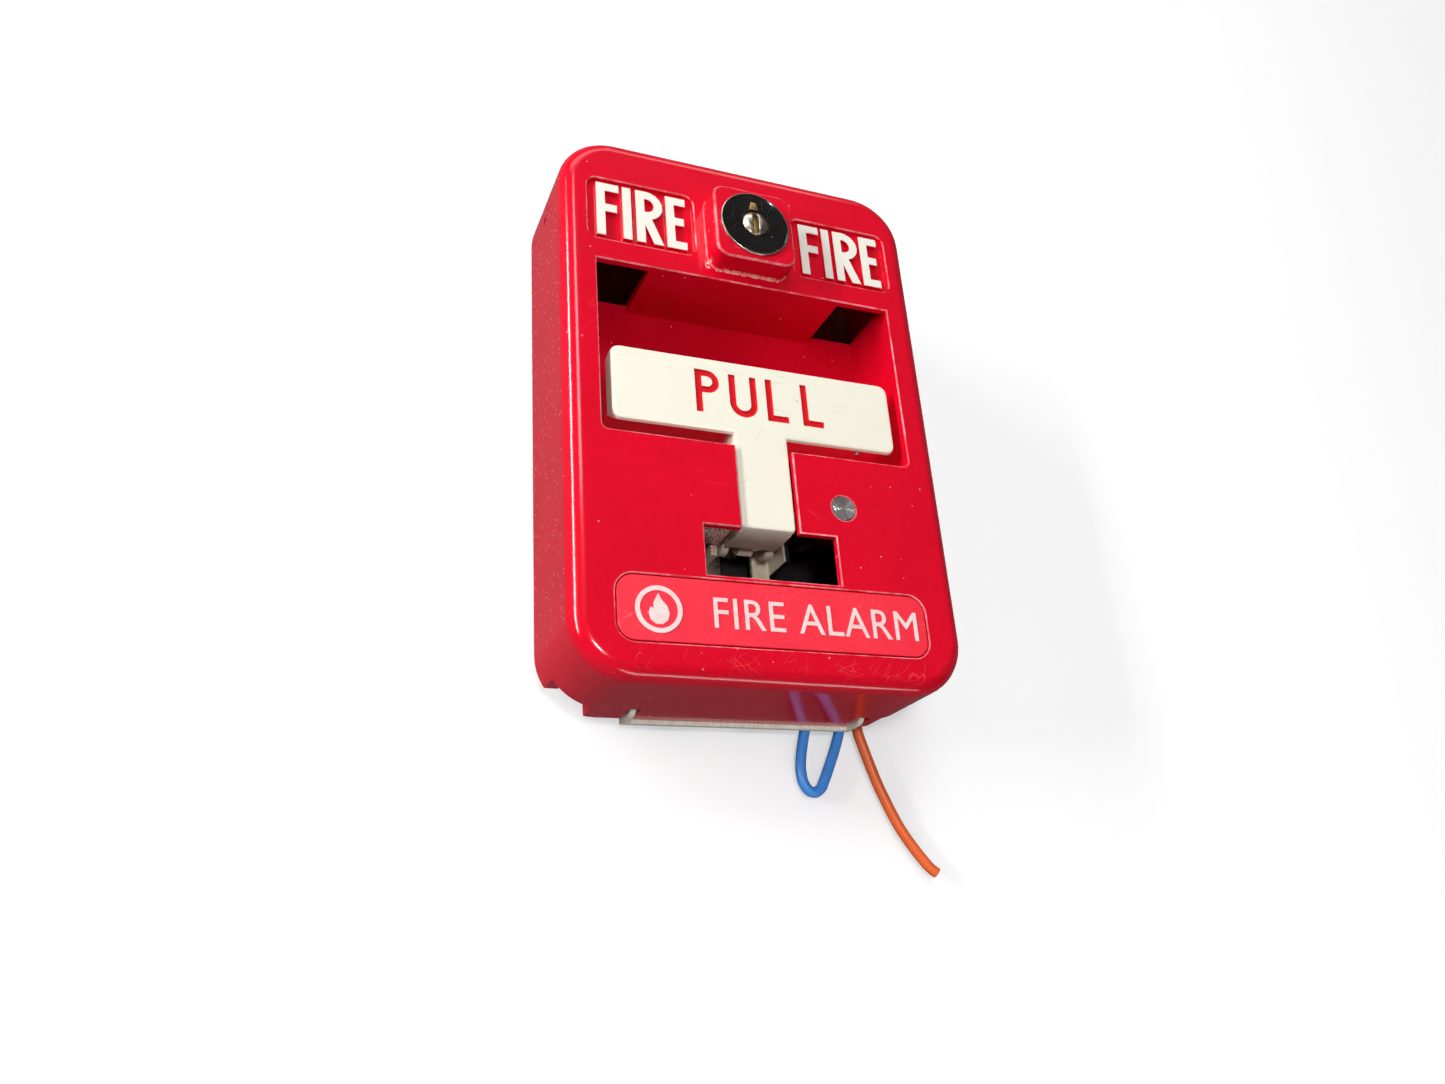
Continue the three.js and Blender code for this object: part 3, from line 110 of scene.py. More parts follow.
def colour_property(name, description, default):
    return FloatVectorProperty(
        name=name, description=description, subtype="COLOR", size=3, min=0, max=1, default=default
    )


def length_property(name, description, default):
    return FloatProperty(
        name=name, description=description, unit="LENGTH", subtype="DISTANCE", min=0, default=default
    )


class PullStationSizes(bpy.types.PropertyGroup):
    wire_diameter: length_property("Wire diameter", "Across a field wire's insulation", 0.0023)
    blue_length: length_property("Blue wire length", "Along the blue loop", 0.0551)
    orange_length: length_property("Orange wire length", "Along the orange tail", 0.0464)
    casting_edge: length_property("Casting edge", "Rounding of the cover's sharp edges", 0.00028)
    word_edge: length_property("Word edge", "Rounding of the raised words", 0.00014)
    sheet_edge: length_property("Sheet edge", "Rounding of cut sheet steel", 0.00012)
    moulded_edge: length_property("Moulded edge", "Rounding of moulded and turned pieces", 0.00018)
    round_steps: IntProperty(name="Round steps", description="Sides of a turned piece", min=24, default=72)


class PullStationColours(bpy.types.PropertyGroup):
    enamel: colour_property("Enamel", "Red gloss enamel of the cover", (0.80, 0.0030, 0.024))
    enamel_shade: colour_property("Enamel shade", "Deeper red in its patches", (0.70, 0.002, 0.019))
    ivory: colour_property("Ivory", "Powder coat of the handle", (0.94, 0.905, 0.76))
    word_white: colour_property("Word white", "Paint on the raised words", (0.93, 0.89, 0.80))
    label: colour_property("Label", "Printed plate", (0.93, 0.028, 0.055))
    zinc: colour_property("Zinc", "Zinc plate with its yellow tint", (0.72, 0.66, 0.52))
    steel: colour_property("Steel", "Screws, pins and springs", (0.62, 0.61, 0.58))
    blue: colour_property("Blue", "Insulation of the looped wire", (0.07, 0.36, 1.0))
    orange: colour_property("Orange", "Insulation of the loose wire", (1.0, 0.17, 0.035))


class PullStationStage(bpy.types.PropertyGroup):
    key_power: FloatProperty(name="Key light", description="Power in watts", min=0, default=3.1)
    side_power: FloatProperty(name="Side light", description="Power in watts", min=0, default=8.2)
    top_power: FloatProperty(name="Top light", description="Power in watts", min=0, default=2.6)
    low_power: FloatProperty(name="Low light", description="Power in watts", min=0, default=0.95)
    foot_power: FloatProperty(name="Foot light", description="Power in watts", min=0, default=0.35)
    back_power: FloatProperty(name="Back light", description="Power in watts", min=0, default=5.0)
    sky: FloatProperty(name="Sky", description="Strength of the light from all round", min=0, default=0.07)
    wall_glow: FloatProperty(name="Wall glow", description="Paleness of the shaded wall", min=0, default=0.46)


# ---------------------------------------------------------------------------------------------
# Node trees
# ---------------------------------------------------------------------------------------------


class Net:
    """Adds nodes to a node tree, each with its values and links in one call."""

    def __init__(self, tree):
        self.tree = tree

    def add(self, kind, values=(), **settings):
        node = self.tree.nodes.new(kind)
        for key, value in settings.items():
            setattr(node, key, value)
        for key, value in dict(values).items():
            self.feed(node.inputs[key], value)
        return node

    def feed(self, socket, value):
        if isinstance(value, bpy.types.NodeSocket):
            self.tree.links.new(value, socket)
        else:
            socket.default_value = value

    def sum(self, operation, *terms):
        node = self.add("ShaderNodeMath", operation=operation)
        for i, term in enumerate(terms):
            self.feed(node.inputs[i], term)
        return node.outputs[0]

    def blend(self, mask, under, over):
        node = self.add("ShaderNodeMix", data_type="RGBA")
        for socket, value in ((0, mask), (6, under), (7, over)):
            self.feed(node.inputs[socket], value)
        return node.outputs[2]

    def between(self, mask, under, over):
        node = self.add("ShaderNodeMix", data_type="FLOAT")
        for socket, value in ((0, mask), (2, under), (3, over)):
            self.feed(node.inputs[socket], value)
        return node.outputs[0]

    def step(self, value, low, high):
        """0 below low and 1 above high, or the other way round where high is the lower one."""
        node = self.add("ShaderNodeMapRange", {0: value, 1: low, 2: high, 3: 0.0, 4: 1.0}, clamp=True)
        return node.outputs[0]

    def group(self, name, values):
        node = self.add("ShaderNodeGroup", node_tree=bpy.data.node_groups[name])
        for key, value in values.items():
            self.feed(node.inputs[key], value)
        return node

    def noise(self, vector, scale, detail=2.0, rough=0.5):
        values = {"Vector": vector, "Scale": scale, "Detail": detail, "Roughness": rough}
        return self.add("ShaderNodeTexNoise", values).outputs["Fac"]


def rgba(colour):
    return (*colour[:3], 1.0)


def new_group(name, inputs, outputs):
    tree = bpy.data.node_groups.new(name, "ShaderNodeTree")
    for key, kind, default in inputs:
        socket = tree.interface.new_socket(name=key, in_out="INPUT", socket_type="NodeSocket" + kind)
        if default is not None:
            socket.default_value = default
    for key, kind in outputs:
        tree.interface.new_socket(name=key, in_out="OUTPUT", socket_type="NodeSocket" + kind)
    net = Net(tree)
    return net, net.add("NodeGroupInput").outputs, net.add("NodeGroupOutput").inputs


def patchy_tone_group():
    """Two tones in soft patches, and a roughness that goes with them."""
    inputs = [("Vector", "Vector", None), ("Tone", "Color", None), ("Second tone", "Color", None),
              ("Patch size", "Float", 60.0), ("Smooth", "Float", 0.3), ("Rough", "Float", 0.45)]
    net, given, out = new_group("Patchy tone", inputs, [("Colour", "Color"), ("Roughness", "Float")])
    wide = net.noise(given["Vector"], given["Patch size"], 4.0, 0.6)
    fine = net.noise(given["Vector"], net.sum("MULTIPLY", given["Patch size"], 14.0), 3.0, 0.65)
    both = net.sum("MULTIPLY_ADD", fine, 0.35, net.sum("MULTIPLY", wide, 0.65))
    share = net.step(both, 0.36, 0.64)
    net.feed(out["Colour"], net.blend(share, given["Tone"], given["Second tone"]))
    net.feed(out["Roughness"], net.between(share, given["Smooth"], given["Rough"]))


def skin_group():
    """Height of a painted or moulded skin: a slow ripple with a finer grit on it."""
    inputs = [("Vector", "Vector", None), ("Ripple size", "Float", 700.0), ("Grit", "Float", 0.3)]
    net, given, out = new_group("Skin", inputs, [("Height", "Float")])
    ripple = net.noise(given["Vector"], given["Ripple size"], 1.0, 0.4)
    grit = net.noise(given["Vector"], net.sum("MULTIPLY", given["Ripple size"], 5.0), 2.0, 0.6)
    net.feed(out["Height"], net.sum("MULTIPLY_ADD", grit, given["Grit"], ripple))


def specks_group():
    """Small round specks of dust or grit, gathered in drifts."""
    inputs = [("Vector", "Vector", None), ("Spacing", "Float", 500.0), ("Size", "Float", 0.12),
              ("Share", "Float", 0.3)]
    net, given, out = new_group("Specks", inputs, [("Mask", "Float")])
    cells = net.add("ShaderNodeTexVoronoi", {"Vector": given["Vector"], "Scale": given["Spacing"]})
    dot = net.step(cells.outputs["Distance"], given["Size"], net.sum("MULTIPLY", given["Size"], 0.55))
    pick = net.add("ShaderNodeSeparateColor", {0: cells.outputs["Color"]}).outputs[0]
    kept = net.sum("LESS_THAN", pick, given["Share"])
    net.feed(out["Mask"], net.sum("MULTIPLY", dot, kept))


def scuffs_group():
    """Short thin scratches that run one way, in a few patches."""
    inputs = [("Vector", "Vector", None), ("Turn", "Vector", None), ("Spacing", "Float", 90.0),
              ("Width", "Float", 0.02), ("Share", "Float", 0.3)]
    net, given, out = new_group("Scuffs", inputs, [("Mask", "Float")])
    turned = net.add("ShaderNodeVectorRotate", {"Vector": given["Vector"], "Rotation": given["Turn"]},
                     rotation_type="EULER_XYZ").outputs[0]
    bent = net.add("ShaderNodeTexNoise", {"Vector": given["Vector"], "Scale": 70.0, "Detail": 1.0})
    shift = net.add("ShaderNodeVectorMath", {0: bent.outputs["Color"], 1: (0.5, 0.5, 0.5)},
                    operation="SUBTRACT").outputs[0]
    shift = net.add("ShaderNodeVectorMath", {0: shift, "Scale": 0.012}, operation="SCALE").outputs[0]
    moved = net.add("ShaderNodeVectorMath", {0: turned, 1: shift}, operation="ADD").outputs[0]
    long = net.add("ShaderNodeMapping", {"Vector": moved, "Scale": (0.11, 1.0, 1.0)}).outputs[0]
    cells = net.add("ShaderNodeTexVoronoi", {"Vector": long, "Scale": given["Spacing"]},
                    feature="DISTANCE_TO_EDGE")
    line = net.step(cells.outputs[0], given["Width"], 0.0)
    patch = net.noise(given["Vector"], 130.0, 3.0, 0.6)
    low = net.sum("SUBTRACT", 0.72, net.sum("MULTIPLY", given["Share"], 0.4))
    near = net.step(patch, low, net.sum("ADD", low, 0.05))
    net.feed(out["Mask"], net.sum("MULTIPLY", line, near))


def plating_group():
    """Zinc or nickel plate: cloudy tone, faint rolling lines and its roughness."""
    inputs = [("Vector", "Vector", None), ("Tone", "Color", None), ("Tint", "Color", None),
              ("Smooth", "Float", 0.25), ("Rough", "Float", 0.5), ("Lines", "Float", 0.35)]
    net, given, out = new_group("Plating", inputs,
                                [("Colour", "Color"), ("Roughness", "Float"), ("Height", "Float")])
    cloud = net.noise(given["Vector"], 140.0, 5.0, 0.65)
    drawn = net.add("ShaderNodeMapping", {"Vector": given["Vector"], "Scale": (1.0, 1.0, 0.04)}).outputs[0]
    lines = net.noise(drawn, 3200.0, 2.0, 0.6)
    grit = net.noise(given["Vector"], 2600.0, 2.0, 0.6)
    share = net.step(net.sum("MULTIPLY_ADD", grit, 0.3, net.sum("MULTIPLY", cloud, 0.7)), 0.36, 0.66)
    net.feed(out["Colour"], net.blend(share, given["Tone"], given["Tint"]))
    net.feed(out["Roughness"], net.between(share, given["Smooth"], given["Rough"]))
    net.feed(out["Height"], net.sum("MULTIPLY_ADD", lines, given["Lines"], grit))


# ---------------------------------------------------------------------------------------------
# Materials
# ---------------------------------------------------------------------------------------------


class Finish:
    """One material: a Principled shader whose colour, roughness and height are built up in layers."""

    def __init__(self, name, **plain):
        self.material = bpy.data.materials.new(name)
        self.material.use_nodes = True
        self.net = Net(self.material.node_tree)
        self.net.tree.nodes.clear()
        self.here = self.net.add("ShaderNodeTexCoord").outputs["Object"]
        self.shader = self.net.add("ShaderNodeBsdfPrincipled")
        self.end = self.net.add("ShaderNodeOutputMaterial", {"Surface": self.shader.outputs[0]})
        for key, value in plain.items():
            self.shader.inputs[key.replace("_", " ")].default_value = value
        self.colour = self.roughness = self.metal = self.height = None
        x_y_z = self.net.add("ShaderNodeSeparateXYZ", {0: self.here}).outputs
        self.x, self.y, self.z = x_y_z[0], x_y_z[1], x_y_z[2]

    def tone(self, first, second, patch=60.0, smooth=0.3, rough=0.45):
        made = self.net.group("Patchy tone", {
            "Vector": self.here, "Tone": rgba(first), "Second tone": rgba(second),
            "Patch size": patch, "Smooth": smooth, "Rough": rough})
        self.colour, self.roughness = made.outputs["Colour"], made.outputs["Roughness"]
        return self

    def plate(self, first, second, smooth=0.25, rough=0.5, lines=0.35):
        made = self.net.group("Plating", {
            "Vector": self.here, "Tone": rgba(first), "Tint": rgba(second),
            "Smooth": smooth, "Rough": rough, "Lines": lines})
        self.colour, self.roughness = made.outputs["Colour"], made.outputs["Roughness"]
        self.height = made.outputs["Height"]
        return self

    def skin(self, ripple=700.0, grit=0.3):
        made = self.net.group("Skin", {"Vector": self.here, "Ripple size": ripple, "Grit": grit})
        self.height = made.outputs["Height"]
        return self

    def over(self, mask, colour, roughness=None, raised=0.0, metal=None):
        """Lays a colour, and with it a roughness, over what is there where the mask is 1."""
        self.colour = self.net.blend(mask, self.colour, rgba(colour))
        if roughness is not None:
            self.roughness = self.net.between(mask, self.roughness, roughness)
        if raised:
            self.height = self.net.sum("MULTIPLY_ADD", mask, raised, self.height)
        if metal is not None:
            under = self.metal if self.metal is not None else self.shader.inputs["Metallic"].default_value
            self.metal = self.net.between(mask, under, metal)
        return self

    def specks(self, colour, spacing=500.0, size=0.12, share=0.3, roughness=0.6, within=1.0):
        made = self.net.group("Specks", {
            "Vector": self.here, "Spacing": spacing, "Size": size, "Share": share})
        return self.over(self.net.sum("MULTIPLY", made.outputs["Mask"], within), colour, roughness)

    def scuffs(self, colour, spacing=90.0, width=0.02, share=0.3, turn=(0, 0.6, 0), within=1.0, raised=0.0):
        made = self.net.group("Scuffs", {
            "Vector": self.here, "Turn": turn, "Spacing": spacing, "Width": width, "Share": share})
        mask = self.net.sum("MULTIPLY", made.outputs["Mask"], within)
        return self.over(mask, colour, 0.5, raised)

    def patch(self, low, high, soft=0.0004):
        """1 inside a box with soft sides, given by two corners in metres, None where it is open."""
        mask = 1.0
        for value, a, b in zip((self.x, self.y, self.z), low, high):
            if a is not None:
                mask = self.net.sum("MULTIPLY", mask, self.net.step(value, a, a + soft))
            if b is not None:
                mask = self.net.sum("MULTIPLY", mask, self.net.step(value, b, b - soft))
        return mask

    def done(self, depth=0.00004, strength=0.5):
        net, shader = self.net, self.shader
        net.feed(shader.inputs["Base Color"], self.colour)
        net.feed(shader.inputs["Roughness"], self.roughness)
        if self.metal is not None:
            net.feed(shader.inputs["Metallic"], self.metal)
        if self.height is not None:
            bump = net.add("ShaderNodeBump", {
                "Height": self.height, "Distance": depth, "Strength": strength})
            net.feed(shader.inputs["Normal"], bump.outputs[0])
        return self.material


def red_enamel(colours):
    made = Finish("Red gloss enamel", Coat_Weight=0.15, Coat_Roughness=0.05, Specular_IOR_Level=0.42)
    made.tone(colours.enamel, colours.enamel_shade, 55.0, 0.13, 0.19).skin(620.0, 0.22)
    low = made.patch((None, None, -0.061), (None, FRONT_Y + 0.001, -0.0535), 0.003)
    made.scuffs((0.92, 0.11, 0.11), 420.0, 0.022, 0.62, (0, 0.95, 0), low, 0.3)
    made.scuffs((0.92, 0.12, 0.11), 380.0, 0.020, 0.45, (0, -0.5, 0), low, 0.3)
    face = made.patch((None, None, -0.05), (None, FRONT_Y + 0.001, 0.055), 0.003)
    made.scuffs((0.90, 0.06, 0.06), 150.0, 0.010, 0.30, (0, 0.42, 0), face, 0.3)
    made.specks((0.95, 0.25, 0.25), 420.0, 0.10, 0.16, 0.6)
    side = made.patch((None, -0.0300, None), (-0.0402, None, None), 0.001)
    made.specks((0.95, 0.28, 0.30), 700.0, 0.16, 0.22, 0.6, side)
    boss_line = made.patch((-0.0078, -0.0326, 0.03085), (0.0074, -0.0313, 0.03155), 0.0003)
    torn = made.net.step(made.net.noise(made.here, 900.0, 3.0, 0.7), 0.42, 0.5)
    made.over(made.net.sum("MULTIPLY", boss_line, torn), (0.86, 0.60, 0.42), 0.6)
    # Painted highlight: a pale spot at the lower-left corner of the lock boss's base.
    corner_highlight = made.patch((-0.0100, -0.0335, 0.0312), (-0.0086, -0.0310, 0.0334), 0.0004)
    painted_highlight = made.net.step(made.net.noise(made.here, 1500.0, 3.0, 0.7), 0.47, 0.52)
    made.over(made.net.sum("MULTIPLY", corner_highlight, painted_highlight), (0.88, 0.74, 0.66), 0.5)
    # Painted highlight: the faces of the rounded front edges are painted a paler pink, broken up by noise,
    # for the thin light line along them.
    edge = made.net.add("ShaderNodeAttribute", attribute_name="edge_highlight_paint").outputs["Fac"]
    broken = made.net.step(made.net.noise(made.here, 160.0, 4.0, 0.7), 0.40, 0.60)
    broken = made.net.sum("MULTIPLY_ADD", broken, 0.75, 0.15)
    made.over(made.net.sum("MULTIPLY", edge, broken), (0.96, 0.33, 0.36), 0.35)
    sides = [made.patch((a, None, 0.0344), (b, FRONT_Y + WORD_PAINT, 0.0490), 0.00006)
             for a, b in ((-0.0348, -0.0128), (0.0128, 0.0348))]
    made.over(made.net.sum("MAXIMUM", *sides), colours.word_white, 0.42)
    return made.done(0.00005, 0.35)


def ivory_coat(colours):
    made = Finish("Ivory powder coat", Specular_IOR_Level=0.25)
    made.tone(colours.ivory, [c * 0.975 for c in colours.ivory], 90.0, 0.42, 0.52).skin(1500.0, 0.5)
    made.specks((0.45, 0.38, 0.27), 330.0, 0.075, 0.10, 0.6)
    made.scuffs((0.80, 0.74, 0.60), 120.0, 0.010, 0.45, (0, 0.3, 0))
    letters = made.patch((-0.0150, -0.03078, -0.0050), (0.0162, -0.0300, 0.0072), 0.00010)
    made.over(letters, (0.72, 0.002, 0.010), 0.6)
    return made.done(0.00003, 0.4)


def label_print_base(colours):
    made = Finish("Label red", Coat_Weight=0.1, Coat_Roughness=0.3, Specular_IOR_Level=0.3)
    lighter = [min(1.0, c * 1.15 + 0.004) for c in colours.label]
    made.tone(colours.label, lighter, 110.0, 0.44, 0.56).skin(1400.0, 0.4)
    made.specks((0.98, 0.24, 0.26), 1300.0, 0.13, 0.3, 0.5)
    made.scuffs((0.96, 0.12, 0.14), 330.0, 0.016, 0.45, (0, 0.8, 0))
    return made.done(0.00003, 0.35)


def label_white():
    made = Finish("Label print white")
    made.tone((0.93, 0.79, 0.77), (0.90, 0.62, 0.60), 420.0, 0.4, 0.55).skin(1800.0, 0.5)
    return made.done(0.00002, 0.3)


def zinc_plate(colours):
    made = Finish("Zinc plate", Metallic=0.9)
    made.plate(colours.zinc, [c * 0.80 for c in colours.zinc], 0.34, 0.55, 0.3)
    made.specks((0.30, 0.24, 0.16), 650.0, 0.10, 0.2, 0.7)
    return made.done(0.00003, 0.35)


def pan_plate(colours):
    """Zinc plate whose sheared bottom lip shows close upright tear lines."""
    made = Finish("Zinc pan", Metallic=0.85)
    made.plate(colours.zinc, [c * 0.80 for c in colours.zinc], 0.36, 0.58, 0.3)
    made.specks((0.30, 0.24, 0.16), 650.0, 0.10, 0.2, 0.7)
    # Painted shade: the pan's inner face behind the cover is painted near black, with no metal, for the dark
    # inside seen through the openings.
    made.over(made.patch((-0.0360, None, 0.0), (0.0360, -0.00142, 0.0565), 0.0004), (0.006, 0.006, 0.006),
              0.7, 0.0, 0.0)
    # Painted light: the bottom lip is painted a pale cream with no metal, as if lit head-on, unlike the zinc
    # above it. Its upright tear lines are real.
    lip = made.patch((None, None, None), (None, None, -0.0570), 0.0003)
    drawn = made.net.add("ShaderNodeMapping", {"Vector": made.here, "Scale": (1.0, 0.05, 0.10)}).outputs[0]
    tear = made.net.step(made.net.noise(drawn, 2100.0, 2.0, 0.6), 0.40, 0.60)
    lit_cream_and_tears = made.net.blend(tear, rgba((0.88, 0.81, 0.66)), rgba((1.0, 0.97, 0.86)))
    made.colour = made.net.blend(lip, made.colour, lit_cream_and_tears)
    made.metal = made.net.between(lip, 0.75, 0.0)
    made.height = made.net.sum("MULTIPLY_ADD", made.net.sum("MULTIPLY", tear, lip), 1.2, made.height)
    return made.done(0.00005, 0.5)


def overspray_plate(colours):
    """Zinc plate with drifts of red paint, as behind the window."""
    made = Finish("Zinc with overspray", Metallic=0.1)
    made.plate([min(1, c * 1.30) for c in colours.zinc], [c * 1.10 for c in colours.zinc], 0.4, 0.6, 0.3)
    shelf = made.patch((None, None, -0.0315), (-0.0040, -0.0200, None), 0.0012)
    grains = made.net.step(made.net.noise(made.here, 2600.0, 4.0, 0.7), 0.46, 0.56)
    made.over(made.net.sum("MULTIPLY", shelf, grains), (0.42, 0.03, 0.03), 0.6, 0.3, 0.0)
    made.over(made.patch((0.00765, None, None), (None, None, None), 0.0001), (0.012, 0.011, 0.011), 0.4)
    return made.done(0.00003, 0.4)


def plated(name, tone, second, smooth=0.22, rough=0.42, metallic=1.0, lines=0.2):
    made = Finish(name, Metallic=metallic)
    made.plate(tone, second, smooth, rough, lines)
    made.specks([c * 0.35 for c in tone], 800.0, 0.09, 0.2, 0.7)
    return made.done(0.00002, 0.3)


def moulded(name, tone, second, smooth=0.35, rough=0.5, ripple=1600.0, grit=0.8, dust=None, **plain):
    made = Finish(name, **plain)
    made.tone(tone, second, 120.0, smooth, rough).skin(ripple, grit)
    if dust is not None:
        made.specks(dust, 700.0, 0.10, 0.25, 0.7)
    return made.done(0.00003, 0.45)


def lock_finish():
    """Polished black face with a bright bare rim, dust and hairline scratches."""
    made = Finish("Lock face black", Metallic=0.0, Coat_Weight=0.5, Coat_Roughness=0.03)
    made.tone((0.006, 0.005, 0.005), (0.012, 0.010, 0.009), 200.0, 0.10, 0.2).skin(900.0, 0.2)
    made.specks((0.50, 0.43, 0.36), 1100.0, 0.13, 0.16, 0.6)
    made.scuffs((0.12, 0.11, 0.10), 300.0, 0.008, 0.35, (0, 1.2, 0))
    away = made.net.sum("SUBTRACT", made.z, LOCK_Z)
    squares = made.net.sum("ADD", made.net.sum("MULTIPLY", made.x, made.x),
                           made.net.sum("MULTIPLY", away, away))
    radius = made.net.sum("SQRT", squares)
    rim = made.net.step(radius, 0.00772, 0.00778)
    made.over(rim, (0.66, 0.60, 0.52), 0.24, 0.0, 1.0)
    barrel = made.patch((None, -0.0362, None), (None, None, None), 0.0002)
    made.over(barrel, (0.55, 0.50, 0.40), 0.35, 0.0, 1.0)
    return made.done(0.00002, 0.25)


def clear_lens():
    made = Finish("Clear lens", Transmission_Weight=0.72, IOR=1.49)
    made.tone((0.62, 0.58, 0.57), (0.52, 0.48, 0.47), 300.0, 0.10, 0.22).skin(900.0, 0.2)
    made.specks((0.75, 0.70, 0.68), 900.0, 0.11, 0.2, 0.5)
    return made.done(0.00002, 0.3)


def insulation(name, tone, second):
    made = Finish(name, Coat_Weight=0.15, Coat_Roughness=0.25)
    made.tone(tone, second, 160.0, 0.33, 0.45).skin(1300.0, 0.4)
    made.specks([min(1, c * 1.6 + 0.05) for c in tone], 800.0, 0.09, 0.2, 0.6)
    return made.done(0.00003, 0.35)


# ---------------------------------------------------------------------------------------------
# Pieces
# ---------------------------------------------------------------------------------------------


def show_piece(name, mesh, body, material, replaced=()):
    """Makes the finished mesh an object that rides on a body and takes the place of CAD nodes."""
    piece = bpy.data.objects.new(name, mesh)
    bpy.context.scene.collection.objects.link(piece)
    if material.name not in [m.name for m in mesh.materials if m]:
        mesh.materials.append(material)
    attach(piece, body)
    if replaced:
        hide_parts(*replaced)
    return piece


def finish_mesh(bm, name, sharp=math.radians(40)):
    """Writes the bmesh to a new mesh, smooth but for the edges sharper than the given angle."""
    for face in bm.faces:
        face.smooth = True
    for edge in bm.edges:
        edge.smooth = len(edge.link_faces) != 2 or edge.calc_face_angle(0.0) < sharp
    mesh = bpy.data.meshes.new(name)
    bm.to_mesh(mesh)
    bm.free()
    return mesh


def merged_copy(node):
    """A bmesh of a CAD node's shape, with its loose triangles joined and flat faces made whole."""
    bm = bmesh.new()
    bm.from_mesh(frame["nodes"][node].data)
    bmesh.ops.remove_doubles(bm, verts=bm.verts, dist=0.000002)
    bmesh.ops.dissolve_degenerate(bm, edges=bm.edges, dist=0.000002)
    bmesh.ops.dissolve_limit(bm, angle_limit=math.radians(0.6), verts=bm.verts, edges=bm.edges,
                             delimit={"NORMAL"})
    return bm


def round_edges(bm, width, within=None, least=math.radians(38), segments=2, clamp=False):
    """Rounds the edges sharper than the least angle whose middle passes the test; gives the new faces."""
    picked = []
    for edge in bm.edges:
        if len(edge.link_faces) != 2 or edge.calc_face_angle(0.0) < least:
            continue
        if edge.calc_length() < width * 0.6:
            continue
        middle = (edge.verts[0].co + edge.verts[1].co) / 2
        if within is None or within(middle):
            picked.append(edge)
    made = bmesh.ops.bevel(bm, geom=picked, offset=width, offset_type="OFFSET", affect="EDGES",
                           segments=segments, profile=0.5, material=-1, clamp_overlap=clamp)
    return made["faces"]


def finer(node, name, width, body, material, clamp=False):
    """A CAD node's own shape with its edges rounded, shown in the node's place."""
    bm = merged_copy(node)
    round_edges(bm, width, clamp=clamp)
    return show_piece(name, finish_mesh(bm, name), body, material, [node])


def even_shading(piece):
    even = piece.modifiers.new("Even shading", "WEIGHTED_NORMAL")
    even.keep_sharp = True
    return piece


def turned_piece(profile, centre, steps=72):
    """Spins a closed outline of (radius, along Y) points, in metres, about an axis through centre."""
    bm = bmesh.new()
    ring = [bm.verts.new((r, y, 0.0)) for r, y in profile]
    edges = [bm.edges.new((ring[i], ring[(i + 1) % len(ring)])) for i in range(len(ring))]
    bmesh.ops.spin(bm, geom=[*ring, *edges], cent=(0, 0, 0), axis=(0, 1, 0), angle=2 * math.pi,
                   steps=steps, use_merge=True)
    bmesh.ops.remove_doubles(bm, verts=bm.verts, dist=0.000001)
    loose = [edge for edge in bm.edges if not edge.link_faces]
    bmesh.ops.delete(bm, geom=loose, context="EDGES")
    bmesh.ops.recalc_face_normals(bm, faces=bm.faces)
    bmesh.ops.translate(bm, verts=bm.verts, vec=centre)
    return bm


def sizes():
    return bpy.context.scene.pull_station_sizes


def colours():
    return bpy.context.scene.pull_station_colours


# ---------------------------------------------------------------------------------------------
# Operators
# ---------------------------------------------------------------------------------------------


class PULLSTATION_OT_camera(bpy.types.Operator):
    """Place the camera below and to the left of the station"""

    bl_idname = "pull_station.camera"
    bl_label = "Camera"

    def execute(self, context):
        data = bpy.data.cameras.new("Camera")
        data.lens = 29.16
        data.sensor_width = 36.0
        data.clip_start, data.clip_end = 0.01, 50.0
        camera = bpy.data.objects.new("Camera", data)
        context.scene.collection.objects.link(camera)
        ahead = Vector((0.37259, 0.84129, 0.39168)).normalized()
        above = Vector((-0.08926, -0.38762, 0.91749))
        right = ahead.cross(above).normalized()
        above = right.cross(ahead)
        turn = Matrix((right, above, -ahead)).transposed()
        camera.matrix_world = Matrix.Translation((-0.09472, -0.22119, -0.12102)) @ turn.to_4x4()
        context.scene.camera = camera
        return {"FINISHED"}


class PULLSTATION_OT_field_wires(bpy.types.Operator):
    """Lay the blue loop and the orange tail from the terminals out under the cover"""

    bl_idname = "pull_station.field_wires"
    bl_label = "Field Wires"

    def lay(self, context, name, route, material, slot, length, far_end):
        curve = bpy.data.curves.new(name, "CURVE")
        curve.dimensions = "3D"
        curve.resolution_u = 8
        curve.bevel_depth = sizes().wire_diameter / 2
        curve.bevel_resolution = 6
        curve.use_fill_caps = True
        spline = curve.splines.new("BEZIER")
        spline.bezier_points.add(len(route) - 1)
        for point, place in zip(spline.bezier_points, route):
            point.co = Vector(place) * MM
            point.handle_left_type = point.handle_right_type = "AUTO"
        curve.materials.append(material)
        wire = bpy.data.objects.new(name, curve)
        context.scene.collection.objects.link(wire)
        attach(wire, "mounted")
        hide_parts(slot)
        return wire

    def execute(self, context):
        shades = colours()
        blue = insulation("Blue insulation", shades.blue, [c * 0.86 for c in shades.blue])
        orange = insulation("Orange insulation", shades.orange, [c * 0.90 for c in shades.orange])
        self.lay(context, "blue_field_wire", BLUE_ROUTE, blue, "blue_wire", sizes().blue_length, "object")
        self.lay(context, "orange_field_wire", ORANGE_ROUTE, orange, "orange_wire",
                 sizes().orange_length, "bare")
        return {"FINISHED"}


